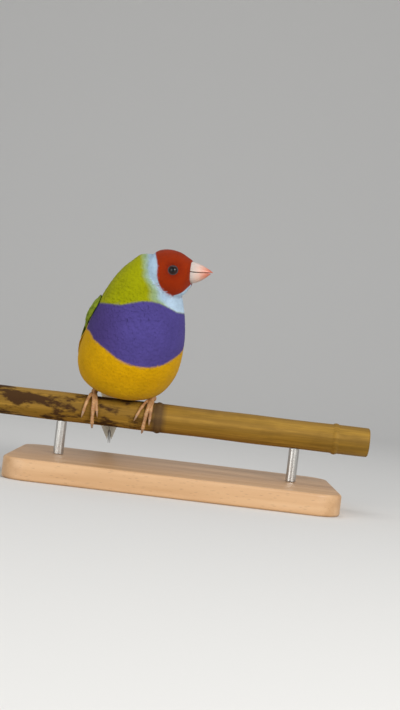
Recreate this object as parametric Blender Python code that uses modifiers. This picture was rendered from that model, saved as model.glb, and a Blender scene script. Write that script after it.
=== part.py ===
"""A life-size Gouldian finch gripping a short length of cane, on a plain display stand.

Lengths are in millimetres until a mesh is finished, and metres from then on.
World axes: +X runs along the perch, +Y away from the viewer, +Z up, and the origin is the
middle of the underside of the base. The bird has a frame of its own: f forward, l to its
left, u up from the top of the perch. A place on its body or folded wing is a station, a
number along BODY_STATIONS, and an angle round the body from the middle of the back.
"""

from math import cos, pi, radians, sin, sqrt

import bmesh
import bpy
import numpy as np
from mathutils import Vector
from mathutils.bvhtree import BVHTree

MM = 0.001
GAP = 0.3  # what touching pieces keep between them
WELD = 1e-6  # in metres
UP = Vector((0.0, 0.0, 1.0))

# Stand and perch
BASE_LENGTH, BASE_DEPTH, BASE_THICKNESS = 124.0, 78.0, 8.0
BASE_CORNER, BASE_EDGE = 10.0, 1.0
ROD_RADIUS, ROD_SPACING = 2.0, 90.0
PERCH_RADIUS, PERCH_LENGTH, PERCH_TOP = 5.6, 146.0, 32.0
PERCH_AXIS = PERCH_TOP - PERCH_RADIUS
CANE_JOINTS, CANE_JOINT_RISE, CANE_JOINT_WIDTH = (-8.4, 60.0), 0.45, 1.6

# Where the bird stands, and how its body and head turn towards +X
FEET_X = -24.2
BODY_X = FEET_X + 3.6
BODY_YAW, HEAD_YAW = radians(17.0), radians(76.0)
TAIL_BEND, BEND_FROM, BEND_TO = radians(16.5), -14.0, -36.0
LEAN, LEAN_FROM = 0.042, 42.0  # the body leans towards +X, by so much a millimetre of height
HEAD_CENTRE = Vector((FEET_X + 14.0, -9.6, PERCH_TOP + 49.3))

# Outline of the body from the nape to the tips of the tail coverts:
# back f and u, front f and u, half width
BODY_STATIONS = (
    (5.0, 56.8, 11.0, 53.8, 4.9),
    (0.2, 51.5, 15.5, 44.5, 11.2),
    (-4.8, 45.0, 18.0, 37.8, 14.7),
    (-10.8, 37.2, 20.3, 29.0, 17.4),
    (-16.5, 28.5, 20.3, 19.5, 19.2),
    (-22.0, 20.5, 15.9, 7.6, 19.6),
    (-26.0, 15.3, 7.4, 0.8, 16.6),
    (-29.0, 11.8, -6.0, 1.2, 11.4),
    (-32.0, 8.9, -20.0, 1.6, 6.6),
    (-35.6, 5.8, -31.4, -0.8, 4.6),
    (-43.2, -1.0, -40.6, -4.9, 3.2),
    (-49.0, -6.4, -48.0, -8.1, 2.0),
)
# The folded wing lies round the body, and past the rump over the root of the tail
WING_STATIONS = BODY_STATIONS[:10] + (
    (-43.6, 0.4, -40.6, -4.9, 4.3),
    (-50.4, -4.2, -47.9, -9.3, 4.2),
    (-56.8, -8.4, -54.3, -13.5, 4.1),
)

# Outline of the head: forward of its centre, top, bottom, half width
HEAD_STATIONS = (
    (-9.9, 0.9, -0.9, 1.2),
    (-9.2, 3.6, -3.4, 3.6),
    (-7.6, 6.3, -5.8, 5.7),
    (-5.0, 8.7, -7.6, 7.2),
    (-1.0, 9.4, -8.6, 8.0),
    (3.0, 8.8, -8.7, 7.8),
    (6.0, 7.4, -7.5, 6.5),
    (7.8, 6.4, -5.0, 5.3),
    (8.8, 5.7, -3.4, 4.1),
)
VOXEL, SMOOTH_STEPS = 0.65, 14
HEAD_TRIANGLES, NECK_TRIANGLES, TORSO_TRIANGLES, COVERT_TRIANGLES = 1100, 500, 2000, 300

# Cuts that part the body: a point and the way that the piece beyond it lies
FACE_CUT = 7.9  # how far forward the feathers end at the bill
HEAD_CUT_BACK, HEAD_CUT_TILT = 6.2, radians(58.0)
NECK_CUT, NECK_CUT_TILT = (6.0, 0.0, 37.0), 0.12
TAIL_CUT = (-32.6, 0.0, 3.2)
TAIL_SLOPE = radians(33.0)

# Bill: forward, top, line of the mouth, bottom, half width
BILL_STATIONS = (
    (8.2, 5.7, 1.6, -2.8, 3.55),
    (10.2, 5.2, 1.5, -2.4, 3.25),
    (12.4, 4.45, 1.6, -1.4, 2.6),
    (14.5, 3.5, 1.8, 0.0, 1.7),
    (15.8, 2.75, 1.95, 1.0, 0.85),
    (16.6, 2.15, 1.85, 1.45, 0.3),
)
LOWER_BILL_SHORTER = 0.9
NOSTRIL, NOSTRIL_RADIUS = (9.4, 1.9, 4.7), 0.42

EYE_FORWARD, EYE_UP, EYE_RADIUS, EYE_SUNK = 3.2, 1.3, 2.0, 1.3
LID_RADIUS, LID_THICKNESS, LID_SUNK = 2.1, 0.42, 0.12

# Folded wing: its root is a shell whose upper and lower edges are angles at a station
WING_ROOT = (
    (2.5, 88.0, 100.0), (2.85, 72.0, 103.0), (3.5, 50.0, 92.0),
    (4.2, 35.0, 68.0), (5.0, 25.0, 54.0), (6.1, 19.0, 49.0),
)
WING_ROOT_THICKNESS = (0.3, 1.15)  # at its ends, and how much more in the middle
WING_TUCK = {"left": 0.8, "right": 0.86}  # the left wing is drawn a little further back
# Tiers of the wing's feathers, each counted from its lower edge upwards: count, station and
# angle of the first root, station and angle of the first tip, how far the angle of the roots,
# the station and the angle of the tips step back, width, height of the roots, height of the
# first tip and its step, share of the length that rounds the tip, and steps along a feather
WING_TIERS = (
    ("primaries", 5, (4.9, 55.0), (11.0, 31.0), (3.6, 0.45, 2.0), 4.2, 0.8, (0.75, 0.32), 0.3, 6),
    ("secondaries", 4, (4.7, 49.0), (8.4, 34.0), (5.0, 0.25, 5.0), 5.0, 1.0, (1.75, 0.16), 0.25, 4),
    ("tertials", 3, (4.5, 37.0), (7.5, 20.0), (4.0, 0.55, 2.5), 5.6, 1.2, (2.35, 0.17), 0.3, 4),
    ("greater coverts", 6, (3.9, 61.0), (5.5, 50.0), (7.6, 0.04, 7.6), 5.0, 0.8, (1.6, 0.13), 0.45, 3),
    ("median coverts", 5, (3.3, 70.0), (4.6, 56.0), (8.4, 0.04, 8.2), 5.0, 0.8, (1.8, 0.13), 0.45, 3),
)

# Tail: the middle pair of feathers is the longest and ends in pins
TAIL_ROOT = (-33.5, 2.5)
TAIL_PAIRS, TAIL_LENGTH, TAIL_STEP, TAIL_VANE_WIDTH = 6, 43.5, 3.0, 5.2
TAIL_VANE_ROOT, TAIL_VANE_HEIGHT, TAIL_VANE_DROP, TAIL_SIDES_APART = 3.0, 0.9, 0.42, 0.2
TAIL_SPREAD = (0.8, 0.34)  # how far from the middle the first feather lies, and each next one
TAIL_ROOF = 0.12  # how steeply the feathers fall away to each side
TAIL_TIP = 0.62  # share of a feather's length that narrows to its tip
TAIL_PIN_START, TAIL_PIN_END, TAIL_PIN_RADIUS, TAIL_PIN_HEIGHT = 35.0, 47.0, 0.34, 0.75
TAIL_PIN_ASIDE = 0.42
VANE_THICKNESS, VANE_TIP, SHINGLE = 0.5, 0.5, 0.05
SIGN = {"left": 1.0, "right": -1.0}

# Feet: X of each foot, then for each toe its drift along X, how far its joint is turned
# from the top of the perch, how far its end is, and the length of its claw
FOOT_X = {"right": FEET_X - 9.7, "left": FEET_X + 13.0}
TOES = {
    "right": (
        ("outer", -2.9, 96.0, 0.72), ("middle", 0.9, 128.0, 0.85), ("inner", 2.2, 90.0, 0.68),
    ),
    "left": (
        ("inner", -5.2, 88.0, 0.68), ("middle", -2.4, 126.0, 0.85), ("outer", -0.2, 97.0, 0.72),
    ),
}
HIND_TOE = (-84.0, 0.85)
TOE_POINTS, CURL, MIDDLE_CURL = 9, 0.22, 0.45
SHANK_RUN = (8.5, 6.5)  # how far the leg runs back and up
CLAW_LENGTH = {"outer": 3.4, "middle": 4.2, "inner": 3.3, "hind": 4.4}
FOOT_JOINT_RADIUS, SHANK_RADIUS = 1.35, 0.95
FOOT_JOINT_ANGLE = -6.0
# A toe comes down from the joint within a share of its length, and eases off the perch low down
TOE_LIFT_FADES, TOE_EASE_FROM, TOE_EASE_OVER, TOE_EASE = 4.0, 92.0, 40.0, 1.5

RED, SKY, PURPLE, LIME = (0.45, 0.03, 0.008), (0.45, 0.62, 0.8), (0.085, 0.06, 0.24), (0.36, 0.38, 0.02)
BILL_PINK, FLESH, HORN = (0.8, 0.6, 0.52), (0.68, 0.42, 0.26), (0.55, 0.42, 0.32)
EYE_BLACK, VANE_GREY, STEEL = (0.015, 0.01, 0.01), (0.3, 0.27, 0.24), (0.55, 0.55, 0.54)
CANE, BEECH = (0.34, 0.21, 0.07), (0.62, 0.42, 0.24)


def ground_way(angle):
    """A unit vector on the ground, turned by the angle from facing the viewer towards +X."""
    return Vector((sin(angle), -cos(angle), 0.0))


FORWARD, LEFT = ground_way(BODY_YAW), UP.cross(ground_way(BODY_YAW))
HEAD_FORWARD, HEAD_LEFT = ground_way(HEAD_YAW), UP.cross(ground_way(HEAD_YAW))
TAIL_ALONG = (-cos(TAIL_SLOPE), -sin(TAIL_SLOPE))
TAIL_NORMAL = (-sin(TAIL_SLOPE), cos(TAIL_SLOPE))


def bird_point(f, l, u):
    """A point of the bird's frame in the world. Behind the hips the body bends to its left."""
    if f < BEND_FROM:
        reach = f - BEND_FROM
        share = reach / (BEND_TO - BEND_FROM)
        turn = TAIL_BEND * min(1.0, share)
        sway = TAIL_BEND * (share / 2 if share < 1.0 else 1.0 - 0.5 / share)
        f, l = BEND_FROM + reach * cos(sway) + l * sin(turn), l * cos(turn) - reach * sin(sway)
    flat = FORWARD * f + LEFT * l
    return Vector((BODY_X + flat.x + LEAN * (max(u, 0.0) - LEAN_FROM), flat.y, PERCH_TOP + u))


def head_point(forward, left, up):
    return HEAD_CENTRE + HEAD_FORWARD * forward + HEAD_LEFT * left + UP * up


def tail_point(along, left, above):
    """A point on or above the tail, measured from the root of its feathers."""
    return bird_point(
        TAIL_ROOT[0] + TAIL_ALONG[0] * along + TAIL_NORMAL[0] * above,
        left,
        TAIL_ROOT[1] + TAIL_ALONG[1] * along + TAIL_NORMAL[1] * above,
    )


def station(table, place):
    """The row of a table of stations at any place between them, by Catmull-Rom."""
    rows = np.array(table, float)
    place = min(max(place, 0.0), len(rows) - 1.0)
    i = min(int(place), len(rows) - 2)
    x = place - i
    a, b = rows[i], rows[i + 1]
    before = rows[i - 1] if i > 0 else 2 * a - b
    after = rows[i + 2] if i + 2 < len(rows) else 2 * b - a
    return 0.5 * (
        2 * a + (b - before) * x + (2 * before - 5 * a + 4 * b - after) * x * x
        + (3 * a - before - 3 * b + after) * x ** 3
    )


def body_point(table, place, angle, height):
    """A point at a station and an angle from the back, at a height over the outline."""
    back_f, back_u, front_f, front_u, half_width = station(table, place)
    reach = Vector((back_f - front_f, back_u - front_u)) / 2
    along = reach.normalized() * (reach.length + height) * cos(angle)
    middle_f, middle_u = (back_f + front_f) / 2, (back_u + front_u) / 2
    return bird_point(middle_f + along.x, (half_width + height) * sin(angle), middle_u + along.y)


def around(count):
    return [2 * pi * i / count for i in range(count)]


def material(name, colour, roughness=0.6, metallic=0.0):
    found = bpy.data.materials.get(name) or bpy.data.materials.new(name)
    found.use_nodes = True
    shader = found.node_tree.nodes["Principled BSDF"]
    shader.inputs["Base Color"].default_value = (*colour, 1.0)
    shader.inputs["Roughness"].default_value = roughness
    shader.inputs["Metallic"].default_value = metallic
    return found


def collection(name):
    found = bpy.data.collections.get(name)
    if not found:
        found = bpy.data.collections.new(name)
        bpy.context.scene.collection.children.link(found)
    return found


def placed(obj, finish=None):
    """Puts a part with its material among the parts, and a piece without one among the cutters."""
    for old in obj.users_collection:
        old.objects.unlink(obj)
    collection("gouldian_finch" if finish else "cutters").objects.link(obj)
    if finish:
        obj.data.materials.append(finish)
    else:
        obj.hide_render, obj.display_type = True, "WIRE"
    return obj


def new_object(name, bm, finish=None):
    """Makes an object of a bmesh held in millimetres, and frees it."""
    bmesh.ops.recalc_face_normals(bm, faces=bm.faces)
    bmesh.ops.scale(bm, vec=(MM, MM, MM), verts=bm.verts)
    mesh = bpy.data.meshes.new(name)
    bm.to_mesh(mesh)
    bm.free()
    return placed(bpy.data.objects.new(name, mesh), finish)


def loft(bm, rings):
    """Joins closed rings of points into one closed skin, capped at both ends."""
    made = [[bm.verts.new(p) for p in ring] for ring in rings]
    count = len(made[0])
    for a, b in zip(made, made[1:]):
        for i in range(count):
            j = (i + 1) % count
            bm.faces.new((a[i], a[j], b[j]))
            bm.faces.new((a[i], b[j], b[i]))
    for ring in (made[0], made[-1]):
        middle = bm.verts.new(sum((v.co for v in ring), Vector()) / count)
        for i in range(count):
            bm.faces.new((ring[i], ring[(i + 1) % count], middle))


def tube(name, path, radii, finish=None, resolution=2):
    """A tube through the path with its own radius at each point, as a closed mesh."""
    curve = bpy.data.curves.new(name, "CURVE")
    curve.dimensions, curve.bevel_depth, curve.bevel_resolution = "3D", MM, resolution
    curve.use_fill_caps = True
    run = curve.splines.new("POLY")
    run.points.add(len(path) - 1)
    for point, place, radius in zip(run.points, path, radii):
        point.co, point.radius = (*(place * MM), 1.0), radius
    route = bpy.data.objects.new(name, curve)
    collection("cutters").objects.link(route)
    graph = bpy.context.evaluated_depsgraph_get()
    mesh = bpy.data.meshes.new_from_object(route.evaluated_get(graph))
    bm = bmesh.new()
    bm.from_mesh(mesh)
    bmesh.ops.remove_doubles(bm, verts=bm.verts, dist=WELD)
    bmesh.ops.triangulate(bm, faces=bm.faces)
    bmesh.ops.scale(bm, vec=(1 / MM, 1 / MM, 1 / MM), verts=bm.verts)
    bpy.data.objects.remove(route)
    bpy.data.curves.remove(curve)
    bpy.data.meshes.remove(mesh)
    return new_object(name, bm, finish)


def baked(obj):
    """Applies an object's modifiers to its mesh."""
    graph = bpy.context.evaluated_depsgraph_get()
    mesh = bpy.data.meshes.new_from_object(obj.evaluated_get(graph))
    obj.modifiers.clear()
    old, obj.data = obj.data, mesh
    bpy.data.meshes.remove(old)
    return obj


def largest_body(obj):
    """Keeps only the largest closed surface of a mesh."""
    bm = bmesh.new()
    bm.from_mesh(obj.data)
    left, best = set(bm.faces), set()
    while left:
        island, stack = set(), [left.pop()]
        while stack:
            face = stack.pop()
            if face not in island:
                island.add(face)
                stack.extend(f for e in face.edges for f in e.link_faces if f not in island)
        left -= island
        best = max(best, island, key=len)
    bmesh.ops.delete(bm, geom=[f for f in bm.faces if f not in best], context="FACES")
    bm.to_mesh(obj.data)
    bm.free()
    return obj


def boolean(obj, others, operation, keep=False, solver="EXACT"):
    """Joins others to an object, or cuts them from it, in one go."""
    group = bpy.data.collections.new("Boolean pieces")
    for other in others:
        group.objects.link(other)
    change = obj.modifiers.new(operation, "BOOLEAN")
    change.operation, change.solver = operation, solver
    change.operand_type, change.collection = "COLLECTION", group
    baked(obj)
    if not keep:
        for other in others:
            bpy.data.objects.remove(other)
    bpy.data.collections.remove(group)
    return largest_body(obj)


def halved(obj, name, cuts, finish):
    """The part of a mesh in front of each cut, a point and a normal, closed by flat faces."""
    bm = bmesh.new()
    bm.from_mesh(obj.data)
    bmesh.ops.scale(bm, vec=(1 / MM, 1 / MM, 1 / MM), verts=bm.verts)
    for point, normal in cuts:
        everything = [*bm.verts, *bm.edges, *bm.faces]
        bmesh.ops.bisect_plane(
            bm, geom=everything, dist=1e-4, plane_co=point, plane_no=normal, clear_inner=True
        )
        bmesh.ops.edgeloop_fill(bm, edges=[e for e in bm.edges if e.is_boundary])
        bmesh.ops.triangulate(bm, faces=[f for f in bm.faces if len(f.verts) > 3])
    return largest_body(new_object(name, bm, finish))


def thinned(obj, triangles):
    """Takes a mesh down to about a number of triangles."""
    now = sum(len(p.vertices) - 2 for p in obj.data.polygons)
    if now > triangles:
        decimate = obj.modifiers.new("thin", "DECIMATE")
        decimate.ratio = triangles / now
        decimate.use_collapse_triangulate = True
        baked(obj)
    return obj


def grown(obj, distance, name="grown"):
    """A copy of a mesh whose surface stands out by a distance, as a cutter."""
    bm = bmesh.new()
    bm.from_mesh(obj.data)
    bmesh.ops.scale(bm, vec=(1 / MM, 1 / MM, 1 / MM), verts=bm.verts)
    bm.normal_update()
    for vert in bm.verts:
        vert.co += vert.normal * distance * min(vert.calc_shell_factor(), 1.6)
    return new_object(name, bm)


def make_whole_body():
    """Head, neck, torso and tail coverts as one smooth skin, before it is parted."""
    bm = bmesh.new()
    last = len(BODY_STATIONS) - 1
    rings = [last * i / 52 for i in range(53)]
    loft(bm, [[body_point(BODY_STATIONS, p, a, 0.0) for a in around(44)] for p in rings])
    body = new_object("whole_body", bm)
    bm = bmesh.new()
    head_rings = []
    for i in range(25):
        forward, top, bottom, half_width = station(HEAD_STATIONS, i / 3)
        middle, half = (top + bottom) / 2, (top - bottom) / 2
        head_rings.append([
            head_point(forward, half_width * sin(a), middle + half * cos(a)) for a in around(36)
        ])
    loft(bm, head_rings)
    boolean(body, [new_object("head_form", bm)], "UNION")
    remesh = body.modifiers.new("remesh", "REMESH")
    remesh.mode, remesh.voxel_size = "VOXEL", VOXEL * MM
    smooth = body.modifiers.new("smooth", "SMOOTH")
    smooth.factor, smooth.iterations = 0.5, SMOOTH_STEPS
    split = body.modifiers.new("split", "TRIANGULATE")
    split.quad_method = "FIXED"
    return baked(body)


def part_body(body):
    """Head, neck, torso and tail coverts, parted by thin cuts."""
    head_way = (HEAD_FORWARD * cos(HEAD_CUT_TILT) + UP * sin(HEAD_CUT_TILT)).normalized()
    head_at = HEAD_CENTRE - head_way * HEAD_CUT_BACK
    face_at = head_point(FACE_CUT, 0, 0)
    neck_way = (UP + FORWARD * NECK_CUT_TILT).normalized()
    neck_at = bird_point(*NECK_CUT)
    tail_at = bird_point(*TAIL_CUT)
    tail_way = (tail_point(10, 0, 0) - tail_point(0, 0, 0)).normalized()
    half = GAP / 2
    head = halved(body, "head", [
        (head_at + head_way * half, head_way),
        (face_at, -HEAD_FORWARD),
        (neck_at + neck_way * half, neck_way),
    ], material("red plumage", RED, 0.8))
    neck = halved(body, "neck", [
        (head_at - head_way * half, -head_way), (neck_at + neck_way * half, neck_way),
    ], material("sky plumage", SKY, 0.8))
    torso = halved(body, "torso", [
        (neck_at - neck_way * half, -neck_way), (tail_at - tail_way * half, -tail_way),
    ], material("purple plumage", PURPLE, 0.8))
    coverts = halved(
        body, "tail", [(tail_at + tail_way * half, tail_way)], material("vane grey", VANE_GREY, 0.6)
    )
    thinned(head, HEAD_TRIANGLES)
    thinned(neck, NECK_TRIANGLES)
    thinned(torso, TORSO_TRIANGLES)
    thinned(coverts, COVERT_TRIANGLES)
    return head, neck, torso, coverts


def make_bill():
    """Upper and lower mandible, with the line of the mouth between them, and the nostrils."""
    finish = material("bill pink", BILL_PINK, 0.35)
    for name, sign, stop in (("bill_upper", 1.0, 0.0), ("bill_lower", -1.0, LOWER_BILL_SHORTER)):
        rings = []
        for i in range(15):
            forward, top, mouth, bottom, width = station(BILL_STATIONS, i / 14 * 5)
            forward -= stop * i / 14
            edge = mouth + sign * GAP / 2
            reach = max(0.25, abs((top if sign > 0 else bottom) - edge))
            ring = []
            for k in range(13):
                a = pi * k / 12
                ring.append(head_point(forward, width * cos(a), edge + sign * reach * sin(a) ** 0.9))
            rings.append(ring)
        bm = bmesh.new()
        loft(bm, rings)
        bill = new_object(name, bm, finish)
        if sign > 0:
            cut_nostrils(bill)


def cut_nostrils(bill):
    cutters = []
    forward, left, up = NOSTRIL
    for side in (1.0, -1.0):
        bm = bmesh.new()
        bmesh.ops.create_icosphere(bm, subdivisions=1, radius=NOSTRIL_RADIUS)
        bmesh.ops.translate(bm, vec=head_point(forward, side * left, up), verts=bm.verts)
        cutters.append(new_object("nostril", bm))
    boolean(bill, cutters, "DIFFERENCE")


def make_eyes(head):
    """Each eyeball in its socket, with a ring of lids raised on the head round it."""
    bm = bmesh.new()
    bm.from_mesh(head.data)
    tree = BVHTree.FromBMesh(bm)
    bm.free()
    lids, sockets = [], []
    for side, name in ((1.0, "eye_left"), (-1.0, "eye_right")):
        outside = head_point(EYE_FORWARD, side * 30, EYE_UP) * MM
        spot, normal, _, _ = tree.ray_cast(outside, -HEAD_LEFT * side)
        centre = spot / MM - normal * EYE_SUNK
        bm = bmesh.new()
        bmesh.ops.create_uvsphere(bm, u_segments=16, v_segments=10, radius=EYE_RADIUS)
        bmesh.ops.translate(bm, vec=centre, verts=bm.verts)
        new_object(name, bm, material("eye black", EYE_BLACK, 0.05))
        bm = bmesh.new()
        bmesh.ops.create_uvsphere(bm, u_segments=14, v_segments=8, radius=EYE_RADIUS + GAP)
        bmesh.ops.translate(bm, vec=centre, verts=bm.verts)
        sockets.append(new_object("socket", bm))
        bpy.ops.mesh.primitive_torus_add(
            major_radius=LID_RADIUS * MM, minor_radius=LID_THICKNESS * MM, major_segments=16,
            minor_segments=6, location=(centre + normal * (EYE_SUNK - LID_SUNK)) * MM,
            rotation=normal.to_track_quat("Z", "Y").to_euler(),
        )
        bpy.ops.object.transform_apply(location=True, rotation=True, scale=True)
        lids.append(placed(bpy.context.object))
    boolean(head, lids, "UNION")
    boolean(head, sockets, "DIFFERENCE")


def vane(place, width_of, tip_share, steps):
    """One feather as a thin closed blade. place(x, across, over) is a point along it."""
    thick = VANE_THICKNESS / 2
    bm = bmesh.new()
    rows = []
    for i in range(steps + 1):
        x = i / steps
        into_tip = max(0.0, x - 1.0 + tip_share) / tip_share
        half = max(VANE_TIP, width_of(x) * sqrt(1.0 - into_tip * into_tip)) / 2
        corners = ((-half, thick), (half, thick), (half, -thick), (-half, -thick))
        rows.append([bm.verts.new(place(x, across, over)) for across, over in corners])
    for a, b in zip(rows, rows[1:]):
        for i, j in ((0, 1), (1, 2), (3, 0)):
            bm.faces.new((a[i], a[j], b[j]))
            bm.faces.new((a[i], b[j], b[i]))
        bm.faces.new((a[2], a[3], b[2]))
        bm.faces.new((a[3], b[3], b[2]))
    for ring in (rows[0], rows[-1]):
        bm.faces.new((ring[0], ring[1], ring[2]))
        bm.faces.new((ring[0], ring[2], ring[3]))
    return new_object("vane", bm)


def wing_vane(side, root, tip, width, heights, tip_share, steps):
    """A feather of the folded wing from its root to its tip, each a station and an angle."""
    sign, tuck, aside = SIGN[side], WING_TUCK[side], 2.0

    def place(x, across, over):
        at = root[0] + (tip[0] - root[0]) * x
        angle = (root[1] + (tip[1] - root[1]) * x) * (tuck + (1.0 - tuck) * x)
        height = heights[0] + (heights[1] - heights[0]) * x
        spot = body_point(WING_STATIONS, at, sign * radians(angle), height)
        beside = body_point(WING_STATIONS, at, sign * radians(angle + aside), height)
        turned = angle + aside * across / (beside - spot).length
        return body_point(WING_STATIONS, at, sign * radians(turned), height + over + across * SHINGLE)

    return vane(place, lambda x: width * (0.75 + 0.25 * sin(pi * min(1.0, x * 1.3))), tip_share, steps)


def wing_core(side):
    """The wing's root: shoulder, arm and the coverts over them, as one shell round the body."""
    thin, more = WING_ROOT_THICKNESS
    inside, outside = GAP + 0.1, GAP + 0.35
    across = [k / 6 for k in range(7)]
    rings = []
    for i in range(11):
        place, high, low = station(WING_ROOT, i / 10 * (len(WING_ROOT) - 1))
        thick = thin + more * sin(pi * (0.08 + 0.84 * i / 10))
        angles = [SIGN[side] * WING_TUCK[side] * radians(high + (low - high) * k) for k in across]
        ring = [
            body_point(WING_STATIONS, place, a, outside + thick * sin(pi * k) ** 0.6)
            for a, k in zip(angles, across)
        ]
        ring += [body_point(WING_STATIONS, place, a, inside) for a in reversed(angles)]
        rings.append(ring)
    bm = bmesh.new()
    loft(bm, rings)
    return new_object(f"wing_{side}", bm, material("vane green", LIME, 0.7))


def make_wing(side, cutters):
    """Every tier of the wing's feathers, fused to the core."""
    core = wing_core(side)
    pieces = []
    for _, count, root, tip, back, width, root_height, tip_height, tip_share, steps in WING_TIERS:
        for i in range(count):
            start = (root[0], root[1] - back[0] * i)
            end = (tip[0] - back[1] * i, tip[1] - back[2] * i)
            heights = (root_height, tip_height[0] + tip_height[1] * i)
            pieces.append(wing_vane(side, start, end, width, heights, tip_share, steps))
    boolean(core, pieces, "UNION", solver="MANIFOLD")
    boolean(core, cutters, "DIFFERENCE", keep=True, solver="MANIFOLD")


def tail_vane(side, pair):
    """A tail feather: the middle pair lies on top and is the longest."""
    length = TAIL_LENGTH - TAIL_STEP * pair
    offset = TAIL_SPREAD[0] + TAIL_SPREAD[1] * pair
    height = TAIL_VANE_HEIGHT - TAIL_VANE_DROP * pair - (TAIL_SIDES_APART if side < 0 else 0.0)

    def place(x, across, over):
        along = TAIL_VANE_ROOT + (length - TAIL_VANE_ROOT) * x
        left = side * offset * (0.4 + 0.9 * x) + across
        return tail_point(along, left, height * (0.7 + 0.3 * x) + over - abs(left) * TAIL_ROOF)

    return vane(place, lambda x: TAIL_VANE_WIDTH * (0.8 + 0.25 * x), TAIL_TIP, 6)


def tail_pin(side):
    """The bare end of a middle feather, drawn out beyond its vane."""
    path, radii = [], []
    for x in (0.0, 0.4, 0.75, 1.0):
        along = TAIL_PIN_START + (TAIL_PIN_END - TAIL_PIN_START) * x
        path.append(tail_point(along, side * TAIL_PIN_ASIDE, TAIL_PIN_HEIGHT))
        radii.append(TAIL_PIN_RADIUS * (1.0 - 0.6 * x * x))
    return tube("pin", path, radii, resolution=1)


def make_tail(coverts):
    """Six pairs of graduated feathers fused into the coverts; the middle pair ends in pins."""
    pieces = [tail_vane(side, pair) for pair in range(TAIL_PAIRS) for side in (1.0, -1.0)]
    pieces += [tail_pin(side) for side in (1.0, -1.0)]
    boolean(coverts, pieces, "UNION", solver="MANIFOLD")


def on_perch(x, angle, clearance):
    """A point over the perch, at an angle from its top towards the viewer."""
    reach = PERCH_RADIUS + clearance
    return Vector((x, -reach * sin(radians(angle)), PERCH_AXIS + reach * cos(radians(angle))))


def toe_path(foot_x, drift, end_angle, radius):
    """The middle line of a toe, from the foot's joint round the perch, easing off it low down."""
    path = []
    for i in range(TOE_POINTS):
        x = i / (TOE_POINTS - 1)
        angle = FOOT_JOINT_ANGLE + (end_angle - FOOT_JOINT_ANGLE) * x
        lift = GAP + radius + (FOOT_JOINT_RADIUS - radius) * max(0.0, 1.0 - TOE_LIFT_FADES * x)
        ease = max(0.0, abs(angle) - TOE_EASE_FROM) / TOE_EASE_OVER
        path.append(on_perch(foot_x + drift * x ** 0.8, angle, lift + TOE_EASE * ease ** 1.3))
    return path


def toe_radii(radius):
    """A toe swells at each of its three pads and narrows to its end."""
    along = [i / (TOE_POINTS - 1) for i in range(TOE_POINTS)]
    return [radius * (1.0 - 0.18 * x) * (1.0 + 0.08 * cos(6 * pi * x)) for x in along]


def make_claw(name, path, radius, length, curl):
    """A claw that goes on from the end of a toe and curls round the perch."""
    way = (path[-1] - path[-2]).normalized()
    inward = (Vector((path[-1].x, 0.0, PERCH_AXIS)) - path[-1]).normalized()
    start = path[-1] + way * GAP
    along = (0.0, 0.25, 0.5, 0.75, 1.0)
    points = [start + way * length * x * (1.0 - 0.22 * x) + inward * length * curl * x * x for x in along]
    tube(name, points, [radius * (1.0 - 0.8 * x ** 1.15) for x in along], material("claw horn", HORN, 0.4))


def ball(name, centre, radius, finish=None):
    bm = bmesh.new()
    bmesh.ops.create_icosphere(bm, subdivisions=2, radius=radius)
    bmesh.ops.translate(bm, vec=centre, verts=bm.verts)
    return new_object(name, bm, finish)


def make_foot(side, torso, torso_cutter):
    """Toes fused at the joint, the claws, and as much of the shank as shows under the belly."""
    flesh = material("foot flesh", FLESH, 0.5)
    joint = on_perch(FOOT_X[side], FOOT_JOINT_ANGLE, GAP + FOOT_JOINT_RADIUS)
    foot = ball(f"foot_{side}", joint, FOOT_JOINT_RADIUS, flesh)
    toes = []
    for toe, drift, end_angle, radius in (*TOES[side], ("hind", -0.6 * SIGN[side], *HIND_TOE)):
        path, radii = toe_path(FOOT_X[side], drift, end_angle, radius), toe_radii(radius)
        toes.append(tube("toe", path, radii))
        curl = MIDDLE_CURL if toe == "middle" else CURL
        make_claw(f"claw_{side}_{toe}", path, radii[-1] * 0.82, CLAW_LENGTH[toe], curl)
    boolean(foot, toes, "UNION")
    shank_way = Vector((-0.4 * SIGN[side], *SHANK_RUN))
    path = [joint + shank_way * x for x in (0.0, 0.25, 0.5, 0.75, 1.0)]
    shank = tube(f"leg_{side}", path, [SHANK_RADIUS] * 5, flesh, 3)
    clearance = ball("joint_clearance", joint, FOOT_JOINT_RADIUS + GAP)
    boolean(torso, [clearance], "DIFFERENCE", keep=True)
    boolean(shank, [clearance], "DIFFERENCE")
    boolean(shank, [torso_cutter], "DIFFERENCE", keep=True)


def make_perch():
    """A length of cane, a little uneven, with a raised ring at each joint."""
    half = PERCH_LENGTH / 2
    places = {-half + PERCH_LENGTH * i / 14 for i in range(15)}
    places |= {j + d * CANE_JOINT_WIDTH for j in CANE_JOINTS for d in (-1.0, -0.4, 0.4, 1.0)}
    bm = bmesh.new()
    outline = [bm.verts.new((-half, 0, 0))]
    for x in sorted(places):
        near = min(abs(x - j) for j in CANE_JOINTS) < CANE_JOINT_WIDTH / 2
        radius = PERCH_RADIUS + (CANE_JOINT_RISE if near else 0.0) - 0.06 * (1.0 + sin(x * 0.17))
        outline.append(bm.verts.new((x, radius, 0)))
    outline.append(bm.verts.new((half, 0, 0)))
    for a, b in zip(outline, outline[1:]):
        bm.edges.new((a, b))
    perch = new_object("perch", bm, material("cane", CANE, 0.6))
    turn = perch.modifiers.new("turned", "SCREW")
    turn.axis, turn.steps, turn.render_steps = "X", 20, 20
    turn.use_merge_vertices, turn.merge_threshold = True, WELD
    baked(perch)
    bm = bmesh.new()
    bm.from_mesh(perch.data)
    bmesh.ops.translate(bm, vec=(0, 0, PERCH_AXIS * MM), verts=bm.verts)
    bmesh.ops.recalc_face_normals(bm, faces=bm.faces)
    bmesh.ops.triangulate(bm, faces=bm.faces)
    bm.to_mesh(perch.data)
    bm.free()
    return perch


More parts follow.
